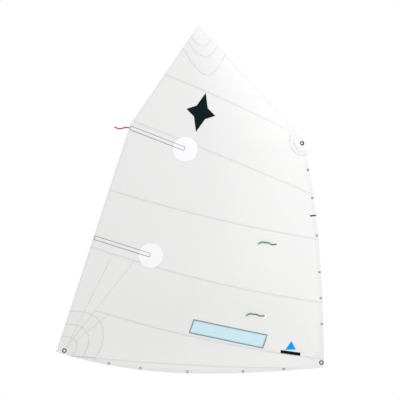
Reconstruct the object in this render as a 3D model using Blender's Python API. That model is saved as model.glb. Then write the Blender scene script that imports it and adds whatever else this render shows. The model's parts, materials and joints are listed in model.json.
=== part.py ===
"""Sprit sail of a small junior dinghy: cross-cut cloth panels, corner patches, edge tapes, two
battens in pockets, a window, eyelets, marks, a peak becket, telltales and a leech ribbon.

X runs forward, Y to port and Z up, in metres. The origin is the centre of the tack eyelet.
Every sheet is drawn flat in X and Z, cut on one shared grid and then laid on the sail's hollow.
"""

import math

import bmesh
import bpy
from mathutils import Matrix, Vector

# Sail plan
LUFF_LENGTH = 1.724
FOOT_LENGTH = 2.013
HEAD_LENGTH = 1.161
PEAK_GAIN = 0.8734  # how much farther the peak is from the tack than the throat is, over the head
TACK_TO_PEAK = LUFF_LENGTH + PEAK_GAIN * HEAD_LENGTH
LUFF_RAKE = math.radians(5.1)
FOOT_RISE = math.radians(3.3)
LUFF_ROUND = 0.046
LUFF_ROUND_SKEW = 0.2  # above 0, the round is fuller towards the throat
FOOT_ROUND = 0.098
FOOT_ROUND_SKEW = -0.3  # below 0, the round is fuller towards the clew
ROACH = 0.172  # how far the leech stands outside the straight line from clew to peak
ROACH_AT = 0.665  # share of that line, from the clew

# Hollow of the set sail
DRAFT_RATIO = 0.07  # depth of the hollow over the chord
STRAIGHT_FROM = 0.55  # share of the chord aft of which the section runs out straight
FOOT_DRAFT = 0.3  # share of the draft that is left at the foot
FULL_DRAFT_AT = 0.4  # height of full draft, as a share of the luff
THROAT_EASE = 0.06  # how far round the throat the front edge's corner is eased in the hollow
LEAST_CHORD = 0.05
GRID = 0.12  # size of the flat triangles that the hollow is made of

# Cloth layers
CLOTH = 0.00035
GAP = 0.0003
LAYER = CLOTH + GAP
LAP = 0.015
FRONT_PANEL, BACK_PANEL = -0.5, 0.5  # the two layers that the panels' laps alternate between
EDGE_STEPS = 16  # straight steps along the luff, and along each other curved edge
SEAM_STEPS = 10
PATCH_STEPS = 12
STOP_CLEARANCE = 0.004  # share of an edge inside which its ends take the place of a shared stop
EDGE_SEARCH_STEP = 0.001

# Seams: (share of the leech from the clew, share of the luff from the tack, sag)
SEAM_HEAD = (0.8305, 1.0, -0.012)
SEAM_SHOULDER = (0.678, 0.7545, -0.005)
SEAM_UPPER = (0.4725, 0.555, 0.028)
SEAM_MIDDLE = (0.309, 0.2835, 0.038)
SEAM_LOWER_AT_LUFF = 0.034
SEAM_LOWER_SAG = 0.037
FOOT_SEAM = (0.045, 0.9795, 0.018)  # shares of the foot from the clew, and sag
RADIAL_SEAMS = (0.098, 0.196)  # shares of the middle seam where the radial seams end
LOWER_SEAM_ON_RADIAL = 0.4385
THIRD_RADIAL_ON_LOWER_SEAM = 0.0684

# Eyelets
CORNER_BORE = 0.0085
CORNER_FLANGE = 0.0170
EDGE_BORE = 0.0042
EDGE_FLANGE = 0.0085
EYELET_WALL = 0.0007
FLANGE_THICKNESS = 0.0009
FLANGE_CHAMFER = 0.0004
EYELET_SEAT_GAP = 0.0008
HOLE_CLEARANCE = 0.0003
EDGE_EYELET_INSET = 0.0125
EDGE_EYELET_SIDES = 12
CORNER_EYELET_SIDES = 20
HOLE_CUTTER_DEPTH = 0.02
TACK_EYELET_FROM_CORNER = Vector((-0.0195, 0.0375))
THROAT_EYELET_FROM_CORNER = Vector((-0.012, -0.036))
CLEW_EYELET_FROM_CORNER = Vector((0.063, 0.011))
LUFF_EYELETS_AT = (0.189, 0.301, 0.415, 0.574, 0.739, 0.863)
FOOT_EYELETS_AT = (0.198, 0.317, 0.493, 0.699, 0.851)

# Corner patches: (reach along the edge before the corner, along the edge after it, depth)
PEAK_PATCHES = ((0.295, 0.215, 0.388), (0.209, 0.150, 0.250), (0.146, 0.106, 0.168))
THROAT_PATCHES = ((0.123, 0.091, 0.115), (0.102, 0.068, 0.084))
CLEW_PATCHES = ((0.321, 0.300, 0.404), (0.219, 0.204, 0.279), (0.122, 0.128, 0.173))
TACK_PATCH = (0.120, 0.130, 0.130)

# Edge tapes, on the port side
LUFF_TAPE = 0.030
HEAD_TAPE = 0.022
LEECH_TAPE = 0.014
FOOT_TAPE = 0.028

# Battens and their pockets
BATTEN_LENGTH = 0.428
BATTEN_WIDTH = 0.018
BATTEN_THICKNESS = 0.0016
POCKET_SIDE_CLEARANCE = 0.001
POCKET_END_CLEARANCE = 0.002
POCKET_SLOPE = 0.0025
POCKET_FLANGE = 0.0025
BATTEN_SETBACK = 0.012  # from the leech to the batten's outer end
POCKET_SETBACK = 0.008  # from the leech to the pocket's mouth
BATTEN_END_STEPS = 6
BATTEN_SEAT_REACH = 0.001
UPPER_POCKET_AT = 0.990  # shares of the leech's lower leg, from the clew
LOWER_POCKET_AT = 0.5053
UPPER_POCKET_SLOPE = math.radians(21.5)
LOWER_POCKET_SLOPE = math.radians(17.1)
DISC_RADIUS = 0.094
DISC_PAST_POCKET = 0.006
DISC_SIDES = 36

# Window
WINDOW_LENGTH = 0.561
WINDOW_HEIGHT = 0.103
WINDOW_LEAN = 0.012
WINDOW_OVERLAP = 0.010
WINDOW_BORDER = 0.007
WINDOW_AT = 0.585  # share of the lower seam, from aft
WINDOW_ABOVE_SEAM = 0.082

# Marks
STAR_LONG = 0.150
STAR_SHORT = 0.110
STAR_WAIST = 0.060
STAR_TILT = math.radians(14)
STAR_AT = (0.259, 0.169)  # share of the head seam from the leech, and drop below it
LUFF_MARK = (0.047, 0.010)
LUFF_MARK_AT = 0.662
BADGE_AT = (0.855, 0.018)  # share of the lower seam from aft, and height above it
BADGE_SAIL = (0.066, 0.080)
BADGE_HULL = (0.150, 0.024)
BADGE_GAP = 0.012
BADGE_RAKE = 0.1  # how far forward the badge's sail leans, as a share of its width

# Peak becket, a webbing arch on the port side that takes the sprit's tip
BECKET_WIDTH = 0.020
BECKET_THICKNESS = 0.0015
BECKET_SPAN = 0.034
BECKET_LEG = 0.026
BECKET_RISE = 0.014
BECKET_BELOW_PEAK = 0.085
BECKET_SEAT_GAP = 0.0014
BECKET_STEPS = 9

# Telltales and leech ribbon
TELLTALE_LENGTH = 0.145
TELLTALE_WIDTH = 0.010
TELLTALE_THICKNESS = 0.0005
TELLTALE_LIFT = 0.021
TELLTALE_RIPPLE = 0.004
TELLTALE_STANDOFF = 0.003
TELLTALE_CURL = 0.6  # how much a port telltale bends away from the hollow, per metre
UPPER_TELLTALE = (0.835, 0.513)  # shares of the chord from aft, and of the luff's height
LOWER_TELLTALE = (0.783, 0.2045)
PORT_TELLTALE_RAISED = 0.028
RIBBON_STEPS = 14
RIBBON_LENGTH = 0.118
RIBBON_WIDTH = 0.010
RIBBON_WAVE = 0.007
RIBBON_AT = 0.988  # share of the leech's lower leg, from the clew
RIBBON_FORWARD = 0.004
RIBBON_SEAT_REACH = 0.004
TELLTALE_SEAT_REACH = 0.03

WHITE_CLOTH = (0.86, 0.86, 0.86, 1)
PATCH_WHITE = (0.93, 0.94, 0.96, 1)
POCKET_GREY = (0.80, 0.81, 0.82, 1)
FILM_BLUE = (0.58, 0.83, 0.91, 1)
MARK_DARK = (0.006, 0.02, 0.028, 1)
MARK_BLUE = (0.01, 0.36, 0.86, 1)
MARK_BLACK = (0.01, 0.01, 0.01, 1)
STITCH_GREY = (0.18, 0.25, 0.27, 1)
TELLTALE_GREEN = (0.02, 0.25, 0.10, 1)
TELLTALE_RED = (0.55, 0.03, 0.05, 1)
NICKEL = (0.12, 0.12, 0.13, 1)
GLASS_FIBRE = (0.72, 0.74, 0.70, 1)


def clear_scene():
    for obj in list(bpy.data.objects):
        bpy.data.objects.remove(obj)


def make_material(name, colour, roughness, metallic=0.0):
    material = bpy.data.materials.new(name)
    material.use_nodes = True
    shader = material.node_tree.nodes["Principled BSDF"]
    shader.inputs["Base Color"].default_value = colour
    shader.inputs["Roughness"].default_value = roughness
    shader.inputs["Metallic"].default_value = metallic
    return material


# The plan: corners and edges, run round the sail with the outside on the right hand


def direction(angle):
    return Vector((math.cos(angle), math.sin(angle)))


def meeting_of_circles(a, radius_a, b, radius_b):
    """The point that is radius_a from a and radius_b from b, on the left of the way from a to b."""
    along = b - a
    x = (radius_a**2 - radius_b**2 + along.length_squared) / (2 * along.length)
    height = math.sqrt(radius_a**2 - x**2)
    unit = along.normalized()
    return a + unit * x + Vector((-unit.y, unit.x)) * height


TACK = -TACK_EYELET_FROM_CORNER
THROAT = TACK + direction(math.pi / 2 + LUFF_RAKE) * LUFF_LENGTH
CLEW = TACK + direction(math.pi - FOOT_RISE) * FOOT_LENGTH
PEAK = meeting_of_circles(TACK, TACK_TO_PEAK, THROAT, HEAD_LENGTH)


def outward(a, b):
    along = (b - a).normalized()
    return Vector((along.y, -along.x))


BEND = CLEW.lerp(PEAK, ROACH_AT) + outward(PEAK, CLEW) * ROACH
UPPER_LEG = (PEAK - BEND).length
LOWER_LEG = (BEND - CLEW).length
LEECH_LENGTH = UPPER_LEG + LOWER_LEG


def bowed(a, b, depth, share, skew=0.0):
    """A point of the curve from a to b that stands out by depth on the right hand."""
    bulge = depth * 4 * share * (1 - share) * (1 + skew * (2 * share - 1))
    return a.lerp(b, share) + outward(a, b) * bulge


def foot(share):
    """From the clew at 0 to the tack at 1."""
    return bowed(CLEW, TACK, FOOT_ROUND, share, FOOT_ROUND_SKEW)


def foot_reinforced(share):
    """From the clew along the foot to the foot seam, then along that seam."""
    start, end, sag = FOOT_SEAM
    if share <= start:
        return foot(share)
    return bowed(foot(start), foot(end), sag, (share - start) / (end - start))


def front(share):
    """Up the luff from the tack at 0 to the throat at 1, then along the head to the peak at 2."""
    if share <= 1:
        return bowed(TACK, THROAT, LUFF_ROUND, share, LUFF_ROUND_SKEW)
    return THROAT.lerp(PEAK, share - 1)


def leech(share):
    """From the clew at 0 over the roach's bend to the peak at 1."""
    distance = share * LEECH_LENGTH
    if distance <= LOWER_LEG:
        return CLEW.lerp(BEND, distance / LOWER_LEG)
    return BEND.lerp(PEAK, (distance - LOWER_LEG) / UPPER_LEG)


def along(edge, start, end, corners=()):
    """Points of an edge from one share to another, with the edge's own shared stops between."""
    stops = {i / EDGE_STEPS for i in range(2 * EDGE_STEPS + 1)} | set(corners)
    low, high = min(start, end), max(start, end)
    inner = sorted(s for s in stops if low + STOP_CLEARANCE < s < high - STOP_CLEARANCE)
    shares = [low, *inner, high]
    if start > end:
        shares.reverse()
    return [edge(s) for s in shares]


def leech_between(start, end):
    bend_share = LOWER_LEG / LEECH_LENGTH
    low, high = min(start, end), max(start, end)
    shares = [low, *([bend_share] if low < bend_share < high else []), high]
    if start > end:
        shares.reverse()
    return [leech(s) for s in shares]


def seam(start, end, sag, first=0.0, last=1.0):
    """Points of a seam that sags by sag, between two shares of its length."""
    shares = [first + (last - first) * i / SEAM_STEPS for i in range(SEAM_STEPS + 1)]
    return [bowed(start, end, sag, s) for s in shares]


# The hollow


def soft_minimum(a, b, ease):
    return (a + b - math.sqrt((a - b) ** 2 + ease**2)) / 2


def x_on_line(a, b, z):
    return a.x + (b.x - a.x) * (z - a.y) / (b.y - a.y)


def section(share):
    """Height of the section over its greatest height: a parabola that runs out in a tangent."""
    rise = 4 / (2 - STRAIGHT_FROM) ** 2
    if share > STRAIGHT_FROM:
        return rise * (1 - share)
    return rise * share * (2 / STRAIGHT_FROM - 1 - share / STRAIGHT_FROM**2)


def dip(x, z):
    """Y of the smooth sail at a place of the plan, from the plane through its edges."""
    fore = soft_minimum(x_on_line(TACK, THROAT, z), x_on_line(THROAT, PEAK, z), THROAT_EASE)
    aft = x_on_line(CLEW, BEND, z)
    chord = max(fore - aft, LEAST_CHORD)
    up = min(max(z / (FULL_DRAFT_AT * LUFF_LENGTH), 0.0), 1.0)
    fullness = FOOT_DRAFT + (1 - FOOT_DRAFT) * up * up * (3 - 2 * up)
    return -DRAFT_RATIO * chord * fullness * section((fore - x) / chord)


def draft(x, z):
    """Y of the smooth sail, from the middle of the tack eyelet."""
    return dip(x, z) - dip(0, 0)


def hollow(x, z):
    """Y of the faceted sail that every sheet is laid on: flat on each triangle of the grid."""
    i, j = math.floor(x / GRID), math.floor(z / GRID)
    u, v = x / GRID - i, z / GRID - j
    low = draft(i * GRID, j * GRID)
    high = draft((i + 1) * GRID, (j + 1) * GRID)
    if u >= v:
        corner = draft((i + 1) * GRID, j * GRID)
        return low + (corner - low) * u + (high - corner) * v
    corner = draft(i * GRID, (j + 1) * GRID)
    return low + (high - corner) * u + (corner - low) * v


def seat(place, reach, heading=0.0):
    """Matrix of a frame on the sail: X along heading in the plan, Y to port along the normal."""
    x, z = place
    slope_x = (hollow(x + reach, z) - hollow(x - reach, z)) / (2 * reach)
    slope_z = (hollow(x, z + reach) - hollow(x, z - reach)) / (2 * reach)
    port = Vector((-slope_x, 1, -slope_z)).normalized()
    ahead = Vector((math.cos(heading), 0, math.sin(heading)))
    ahead = (ahead - port * ahead.dot(port)).normalized()
    above = ahead.cross(port)
    turn = Matrix((ahead, port, above)).transposed().to_4x4()
    return Matrix.Translation((x, hollow(x, z), z)) @ turn


# Sheets


def cut(bm, normal, distance):
    geometry = bm.verts[:] + bm.edges[:] + bm.faces[:]
    point = Vector(normal) * distance
    bmesh.ops.bisect_plane(bm, geom=geometry, dist=1e-6, plane_co=point, plane_no=normal)


def cut_on_grid(bm):
    """Cuts along the grid's upright, level and slanting lines, so that each face lies on one facet."""
    for normal, pitch in (
        (Vector((1, 0, 0)), GRID),
        (Vector((0, 0, 1)), GRID),
        (Vector((1, 0, -1)).normalized(), GRID / math.sqrt(2)),
    ):
        reach = [v.co.dot(normal) for v in bm.verts]
        for line in range(math.ceil(min(reach) / pitch), math.floor(max(reach) / pitch) + 1):
            cut(bm, normal, line * pitch)


def link(name, mesh, material):
    obj = bpy.data.objects.new(name, mesh)
    obj.data.materials.append(material)
    bpy.context.scene.collection.objects.link(obj)
    return obj


def mesh_from(bm, name):
    bmesh.ops.recalc_face_normals(bm, faces=bm.faces)
    mesh = bpy.data.meshes.new(name)
    bm.to_mesh(mesh)
    bm.free()
    return mesh


def sheet(name, outline, layer, material, holes=(), relief=None, lines=(), thickness=CLOTH):
    """A sheet from its outline in the plan, laid on the sail with its middle in a layer.

    Layers count to port from the sail's middle, and relief adds a height to starboard.
    """
    bm = bmesh.new()
    edges = []
    for loop in (outline, *holes):
        ring = [bm.verts.new((x, 0, z)) for x, z in loop]
        edges += [bm.edges.new(pair) for pair in zip(ring, ring[1:] + ring[:1])]
    bmesh.ops.triangle_fill(bm, use_beauty=True, use_dissolve=True, edges=edges, normal=(0, -1, 0))
    for normal, distance in lines:
        cut(bm, normal, distance)
    cut_on_grid(bm)
    bmesh.ops.recalc_face_normals(bm, faces=bm.faces)
    starboard = list(bm.verts)
    grown = bmesh.ops.extrude_face_region(bm, geom=bm.faces[:])
    port = [v for v in grown["geom"] if isinstance(v, bmesh.types.BMVert)]
    for side, verts in ((-0.5, starboard), (0.5, port)):
        for vert in verts:
            x, z = vert.co.x, vert.co.z
            height = relief(x, z) if relief else 0.0
            vert.co.y = hollow(x, z) + layer * LAYER + side * thickness - height
    return link(name, mesh_from(bm, name), material)


def pierce(obj, cutter):
    boolean = obj.modifiers.new("eyelet_holes", "BOOLEAN")
    boolean.operation = "DIFFERENCE"
    boolean.solver = "EXACT"
    boolean.object = cutter


def seam_ends(cut_line, shift):
    """Leech and luff shares of a cross seam, moved up both edges by shift metres."""
    on_leech, on_luff, _ = cut_line
    return on_leech + shift / LEECH_LENGTH, on_luff + shift / LUFF_LENGTH


def cross_seam(cut_line, shift=0.0, first=0.0, last=1.0):
    on_leech, on_luff = seam_ends(cut_line, shift)
    return seam(leech(on_leech), front(on_luff), cut_line[2], first, last)


def tier(lower, upper, lap):
    """Outline of a panel between two cross seams, with a lap past both if it lies behind."""
    low_leech, low_luff = seam_ends(lower, -lap)
    high_leech, high_luff = seam_ends(upper, lap)
    outline = cross_seam(lower, -lap)[:-1]
    outline += along(front, low_luff, high_luff, corners=(1.0,))[:-1]
    outline += cross_seam(upper, lap)[::-1][:-1]
    outline += leech_between(high_leech, low_leech)[:-1]
    return outline


def head_outline():
    on_leech, on_luff = seam_ends(SEAM_HEAD, 0)
    outline = cross_seam(SEAM_HEAD)[:-1]
    return outline + [front(on_luff), PEAK] + leech_between(1.0, on_leech)[1:-1]


CLEW_EYELET = CLEW + CLEW_EYELET_FROM_CORNER
THROAT_EYELET = THROAT + THROAT_EYELET_FROM_CORNER
TACK_EYELET = Vector((0.0, 0.0))


def on_middle_seam(share):
    return bowed(leech(SEAM_MIDDLE[0]), front(SEAM_MIDDLE[1]), SEAM_MIDDLE[2], share)


def lower_seam(first=0.0, last=1.0, shift=0.0):
    start = CLEW_EYELET.lerp(on_middle_seam(RADIAL_SEAMS[1]), LOWER_SEAM_ON_RADIAL)
    end = front(SEAM_LOWER_AT_LUFF + shift / LUFF_LENGTH)
    raised = start + Vector((0, shift))
    return seam(raised, end, SEAM_LOWER_SAG, first, last)


def shrunk(outline, by=GAP / 2):
    """The outline moved inward by a hair, for panels that meet edge to edge."""
    moved = []
    for before, here, after in zip(outline[-1:] + outline[:-1], outline, outline[1:] + outline[:1]):
        first, second = outward(before, here), outward(here, after)
        bisector = (first + second) / (1 + first.dot(second))
        moved.append(here - bisector * by)
    return moved


def without_repeats(outline):
    return [p for i, p in enumerate(outline) if (p - outline[i - 1]).length > 1e-5]


def panels(cloth):
    """The cloth of the sail. Front panels end on the seams, and back ones lap behind them."""
    first, second = RADIAL_SEAMS
    gore_top = cross_seam(SEAM_MIDDLE, 0, 0, first)
    middle_gore_top = cross_seam(SEAM_MIDDLE, 0, first, second)
    lower_top = cross_seam(SEAM_MIDDLE, 0, second, 1)
    third = THIRD_RADIAL_ON_LOWER_SEAM
    foot_start, foot_end, foot_sag = FOOT_SEAM
    foot_seam = seam(foot(foot_start), foot(foot_end), foot_sag)
    lap_share = LAP / FOOT_LENGTH
    lowered = seam(foot(foot_start - lap_share), foot(foot_end + lap_share), foot_sag + LAP)
    raised_luff = SEAM_LOWER_AT_LUFF + LAP / LUFF_LENGTH
    outlines = (
        ("head_panel", FRONT_PANEL, head_outline()),
        ("shoulder_panel", BACK_PANEL, shoulder_outline()),
        ("upper_panel", FRONT_PANEL, tier(SEAM_UPPER, SEAM_SHOULDER, 0)),
        ("middle_panel", BACK_PANEL, tier(SEAM_MIDDLE, SEAM_UPPER, LAP)),
        (
            "leech_gore",
            FRONT_PANEL,
            [CLEW, CLEW_EYELET, *gore_top[::-1], *leech_between(SEAM_MIDDLE[0], 0)[1:-1]],
        ),
        ("middle_gore", FRONT_PANEL, [CLEW_EYELET, *middle_gore_top[::-1]]),
        (
            "window_panel",
            FRONT_PANEL,
            lower_seam()
            + along(front, SEAM_LOWER_AT_LUFF, SEAM_MIDDLE[1])[1:-1]
            + lower_top[::-1],
        ),
        ("inner_gore", BACK_PANEL, [CLEW_EYELET, *lower_seam(0, third, LAP)[::-1]]),
        (
            "foot_panel",
            BACK_PANEL,
            [CLEW_EYELET, *along(foot, 0, foot_start - lap_share)]
            + lowered[1:-1]
            + along(foot, foot_end + lap_share, 1)
            + along(front, 0, raised_luff)[1:-1]
            + lower_seam(third, 1, LAP)[::-1],
        ),
        (
            "foot_shelf",
            FRONT_PANEL,
            along(foot, foot_start, foot_end) + foot_seam[::-1][1:-1],
        ),
    )
    made = {}
    for name, layer, outline in outlines:
        holes = [window_outline(-WINDOW_OVERLAP)] if name == "window_panel" else []
        outline = shrunk(without_repeats(outline))
        made[name] = sheet(name, outline, layer, cloth, holes=holes)
    return made


def shoulder_outline():
    """The second panel from the top, whose upper lap runs up past the throat onto the head."""
    low_leech, low_luff = seam_ends(SEAM_SHOULDER, -LAP)
    high_leech, _ = seam_ends(SEAM_HEAD, LAP)
    throat_lap = 1 + LAP / HEAD_LENGTH
    outline = cross_seam(SEAM_SHOULDER, -LAP)[:-1]
    outline += along(front, low_luff, throat_lap, corners=(1.0,))[:-1]
    outline += seam(leech(high_leech), front(throat_lap), SEAM_HEAD[2])[::-1][:-1]
    return outline + leech_between(high_leech, low_leech)[:-1]


def window_outline(grow):
    """The window's leaning four-sided outline, grown outwards by grow."""
    middle = bowed(
        lower_seam()[0], lower_seam()[-1], SEAM_LOWER_SAG, WINDOW_AT
    ) + Vector((0, WINDOW_ABOVE_SEAM))
    run = (lower_seam()[-1] - lower_seam()[0]).normalized()
    rise = Vector((-run.y, run.x))
    half = WINDOW_LENGTH / 2 + grow
    height = WINDOW_HEIGHT / 2 + grow
    lean = WINDOW_LEAN / 2
    corners = ((-half - lean, -height), (half - lean, -height), (half + lean, height), (lean - half, height))
    return [middle + run * u + rise * v for u, v in corners]


def window(film, border):
    sheet("window_film", window_outline(0), FRONT_PANEL - 1, film)
    sheet(
        "window_border",
        window_outline(WINDOW_BORDER / 2),
        FRONT_PANEL - 2,
        border,
        holes=[window_outline(-WINDOW_BORDER / 2)],
    )


# Corner patches


def edge_share(edge, start, towards, distance):
    """Share of an edge at a distance from its start, going towards greater or smaller shares."""
    share = start
    step = EDGE_SEARCH_STEP * towards
    while (edge(share) - edge(start)).length < distance:
        share += step
    return share


def patch_outline(corner, before, after, reach_before, reach_after, depth):
    """A corner patch between two edges, each given as (edge, share at the corner, way to go)."""
    edge_a, at_a, way_a = before
    edge_b, at_b, way_b = after
    end_a = edge_share(edge_a, at_a, way_a, reach_before)
    end_b = edge_share(edge_b, at_b, way_b, reach_after)
    start, end = edge_b(end_b), edge_a(end_a)
    run_a, run_b = (end - corner).normalized(), (start - corner).normalized()
    middle = (run_a + run_b).normalized()
    square_a = Vector((-run_a.y, run_a.x))
    square_b = Vector((-run_b.y, run_b.x))
    if square_a.dot(middle) < 0:
        square_a.negate()
    if square_b.dot(middle) < 0:
        square_b.negate()
    pull_start = (middle + square_b).normalized()
    pull_end = (middle + square_a).normalized()
    short = depth - ((start + end) / 2 - corner).dot(middle)
    at_half_way = 3 / 8  # weight of each handle at the middle of a Bezier curve
    pull = short / (at_half_way * (pull_start + pull_end).dot(middle))
    handles = (start, start + pull_start * pull, end + pull_end * pull, end)
    curve = [bezier(handles, i / PATCH_STEPS) for i in range(PATCH_STEPS + 1)]
    outline = curve + patch_side(edge_a, end_a, at_a)[1:]
    return outline + patch_side(edge_b, at_b, end_b)[1:-1]


def patch_side(edge, start, end):
    if edge is leech:
        return leech_between(start, end)
    corners = (FOOT_SEAM[0],) if edge is foot_reinforced else ()
    return along(edge, start, end, corners)


def bezier(handles, share):
    a, b, c, d = handles
    rest = 1 - share
    return a * rest**3 + b * 3 * rest**2 * share + c * 3 * rest * share**2 + d * share**3


def corner_patches(cloth):
    made = {}
    stacks = (
        ("peak", PEAK, (front, 2.0, -1), (leech, 1.0, -1), PEAK_PATCHES),
        ("throat", THROAT, (front, 1.0, -1), (front, 1.0, 1), THROAT_PATCHES),
        ("clew", CLEW, (leech, 0.0, 1), (foot_reinforced, 0.0, 1), CLEW_PATCHES),
    )
    for place, corner, before, after, sizes in stacks:
        for count, size in enumerate(sizes, start=1):
            outline = without_repeats(patch_outline(corner, before, after, *size))
            name = f"{place}_patch_{count}"
            made[name] = sheet(name, outline, FRONT_PANEL - count, cloth)
    tack = patch_outline(TACK, (foot, 1.0, -1), (front, 0.0, 1), *TACK_PATCH)
    made["tack_patch"] = sheet("tack_patch", without_repeats(tack), BACK_PANEL + 2, cloth)
    return made


# Edge tapes


def mitre(corner, run_a, width_a, run_b, width_b):
    """Where the inner edges of two tapes meet: width_a from the edge along run_a, and so on."""
    sine = abs(run_a.x * run_b.y - run_a.y * run_b.x)
    return corner + (run_a * width_b + run_b * width_a) / sine


def tape_outline(points, width, start_mitre, end_mitre):
    """A tape inside an edge, given the edge's points in the way that keeps outside on the right."""
    inner = []
    for i in range(1, len(points) - 1):
        first = outward(points[i - 1], points[i])
        second = outward(points[i], points[i + 1])
        inner.append(points[i] - (first + second) / (1 + first.dot(second)) * width)
    reach = 3 * width
    inner = [
        p for p in inner if (p - start_mitre).length > reach and (p - end_mitre).length > reach
    ]
    return points + [end_mitre] + inner[::-1] + [start_mitre]


def tapes(cloth):
    edges = {
        "foot": (along(foot, 0, 1), FOOT_TAPE),
        "luff": (along(front, 0, 1), LUFF_TAPE),
        "head": ([THROAT, PEAK], HEAD_TAPE),
        "leech": ([PEAK, BEND, CLEW], LEECH_TAPE),
    }
    order = list(edges)
    made = {}
    for i, name in enumerate(order):
        points, width = edges[name]
        before, before_width = edges[order[i - 1]]
        after, after_width = edges[order[(i + 1) % len(order)]]
        start_mitre = mitre(
            points[0],
            (before[-2] - points[0]).normalized(),
            before_width,
            (points[1] - points[0]).normalized(),
            width,
        )
        end_mitre = mitre(
            points[-1],
            (points[-2] - points[-1]).normalized(),
            width,
            (after[1] - points[-1]).normalized(),
            after_width,
        )
        outline = shrunk(tape_outline(points, width, start_mitre, end_mitre))
        made[f"{name}_tape"] = sheet(f"{name}_tape", outline, BACK_PANEL + 1, cloth)
    return made


# Battens, pockets and end discs


class Pocket:
    """Place and shape of one batten pocket. U runs in from the leech and V across."""

    def __init__(self, leech_share, slope):
        self.mouth = CLEW.lerp(BEND, leech_share)
        self.heading = -slope
        self.run = direction(self.heading)
        self.across = Vector((-self.run.y, self.run.x))
        self.half = BATTEN_WIDTH / 2 + POCKET_SIDE_CLEARANCE
        self.end = BATTEN_SETBACK + BATTEN_LENGTH + POCKET_END_CLEARANCE
        self.leech_run = (BEND - CLEW).normalized()

    def at(self, u, v):
        return self.mouth + self.run * u + self.across * v

    def at_mouth(self, v):
        """The point of the pocket's mouth, which runs along the leech, v across from its middle."""
        along_leech = self.leech_run * (v / self.leech_run.dot(self.across))
        return self.mouth + along_leech + self.run * POCKET_SETBACK

    def relief(self, x, z):
        """How far the pocket's cloth stands out over the batten."""
        place = Vector((x, z)) - self.mouth
        u, v = place.dot(self.run), abs(place.dot(self.across))
        side = (self.half + POCKET_SLOPE - v) / POCKET_SLOPE
        inner = (self.end + POCKET_SLOPE - u) / POCKET_SLOPE
        return (BATTEN_THICKNESS + GAP) * min(max(min(side, inner), 0.0), 1.0)

    def lines(self):
        """The lines where the relief bends, as plane normals and distances."""
        found = []
        for normal, stops in (
            (self.across, (self.half, -self.half, self.half + POCKET_SLOPE, -self.half - POCKET_SLOPE)),
            (self.run, (self.end, self.end + POCKET_SLOPE)),
        ):
            for stop in stops:
                found.append((normal, (self.mouth + normal * stop).dot(normal)))
        for way in (1, -1):
            slant = (self.run - self.across * way).normalized()
            found.append((slant, self.at(self.end, self.half * way).dot(slant)))
        return [(Vector((n.x, 0, n.y)), d) for n, d in found]


def batten_outline(pocket):
    """The outline of a flat rod with rounded ends."""
    radius = BATTEN_WIDTH / 2
    outline = []
    for centre, start in ((BATTEN_LENGTH - radius, -90), (radius, 90)):
        for step in range(BATTEN_END_STEPS + 1):
            round_end = direction(math.radians(start + 180 * step / BATTEN_END_STEPS)) * radius
            outline.append(pocket.at(BATTEN_SETBACK + centre + round_end.x, round_end.y))
    return outline


def batten_set(name, pocket, cloth, disc_cloth, rod):
    wide = pocket.half + POCKET_SLOPE + POCKET_FLANGE
    end = pocket.end + POCKET_SLOPE + POCKET_FLANGE
    outline = [pocket.at_mouth(wide), pocket.at_mouth(-wide), pocket.at(end, -wide), pocket.at(end, wide)]
    pocket_layer = FRONT_PANEL - 1
    sheet(
        f"{name}_batten_pocket",
        outline,
        pocket_layer,
        cloth,
        relief=pocket.relief,
        lines=pocket.lines(),
    )
    centre = pocket.at(end + DISC_PAST_POCKET, 0)
    turn = 2 * math.pi / DISC_SIDES
    circle = [centre + direction(turn * i) * DISC_RADIUS for i in range(DISC_SIDES)]
    sheet(
        f"{name}_batten_disc",
        circle,
        pocket_layer - 1,
        disc_cloth,
        relief=pocket.relief,
        lines=pocket.lines(),
    )
    rod_layer = FRONT_PANEL * LAYER - CLOTH / 2 - GAP - BATTEN_THICKNESS / 2
    layer = rod_layer / LAYER
    batten = sheet(f"{name}_batten", batten_outline(pocket), layer, rod, thickness=BATTEN_THICKNESS)
    frame = seat(pocket.at(BATTEN_SETBACK, 0), BATTEN_SEAT_REACH, pocket.heading)
    on_axis = frame @ Matrix.Translation((0, rod_layer, 0))
    batten.data.transform(on_axis.inverted())
    batten.matrix_world = on_axis


# Eyelets


def lathe(name, profile, steps, material, frame):
    """A ring turned about the frame's Y axis from a closed profile of (radius, Y) points."""
    bm = bmesh.new()
    ring = [bm.verts.new((radius, y, 0)) for radius, y in profile]
    edges = [bm.edges.new(pair) for pair in zip(ring, ring[1:] + ring[:1])]
    bmesh.ops.spin(
        bm,
        geom=ring + edges,
        cent=(0, 0, 0),
        axis=(0, 1, 0),
        angle=2 * math.pi,
        steps=steps,
        use_merge=True,
    )
    bmesh.ops.remove_doubles(bm, verts=bm.verts, dist=1e-6)
    mesh = mesh_from(bm, name)
    mesh.shade_smooth()
    mesh.set_sharp_from_angle(angle=math.radians(30))
    obj = link(name, mesh, material)
    obj.matrix_world = frame
    return obj


def flange(bore, outer, inner_y, outer_y):
    """Profile points of a flange with a chamfered rim, from its bore round to its inner face."""
    way = 1 if outer_y > inner_y else -1
    return [
        (bore, outer_y),
        (outer - FLANGE_CHAMFER, outer_y),
        (outer, outer_y - way * FLANGE_CHAMFER),
        (outer, inner_y),
    ]


def grip(layers_to_starboard, layers_to_port):
    """Y of an eyelet's two inner faces, over that many layers past the panels' on each side."""
    stack = FRONT_PANEL * LAYER - CLOTH / 2
    return (
        stack - layers_to_starboard * LAYER - EYELET_SEAT_GAP,
        -stack + layers_to_port * LAYER + EYELET_SEAT_GAP,
    )


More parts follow.
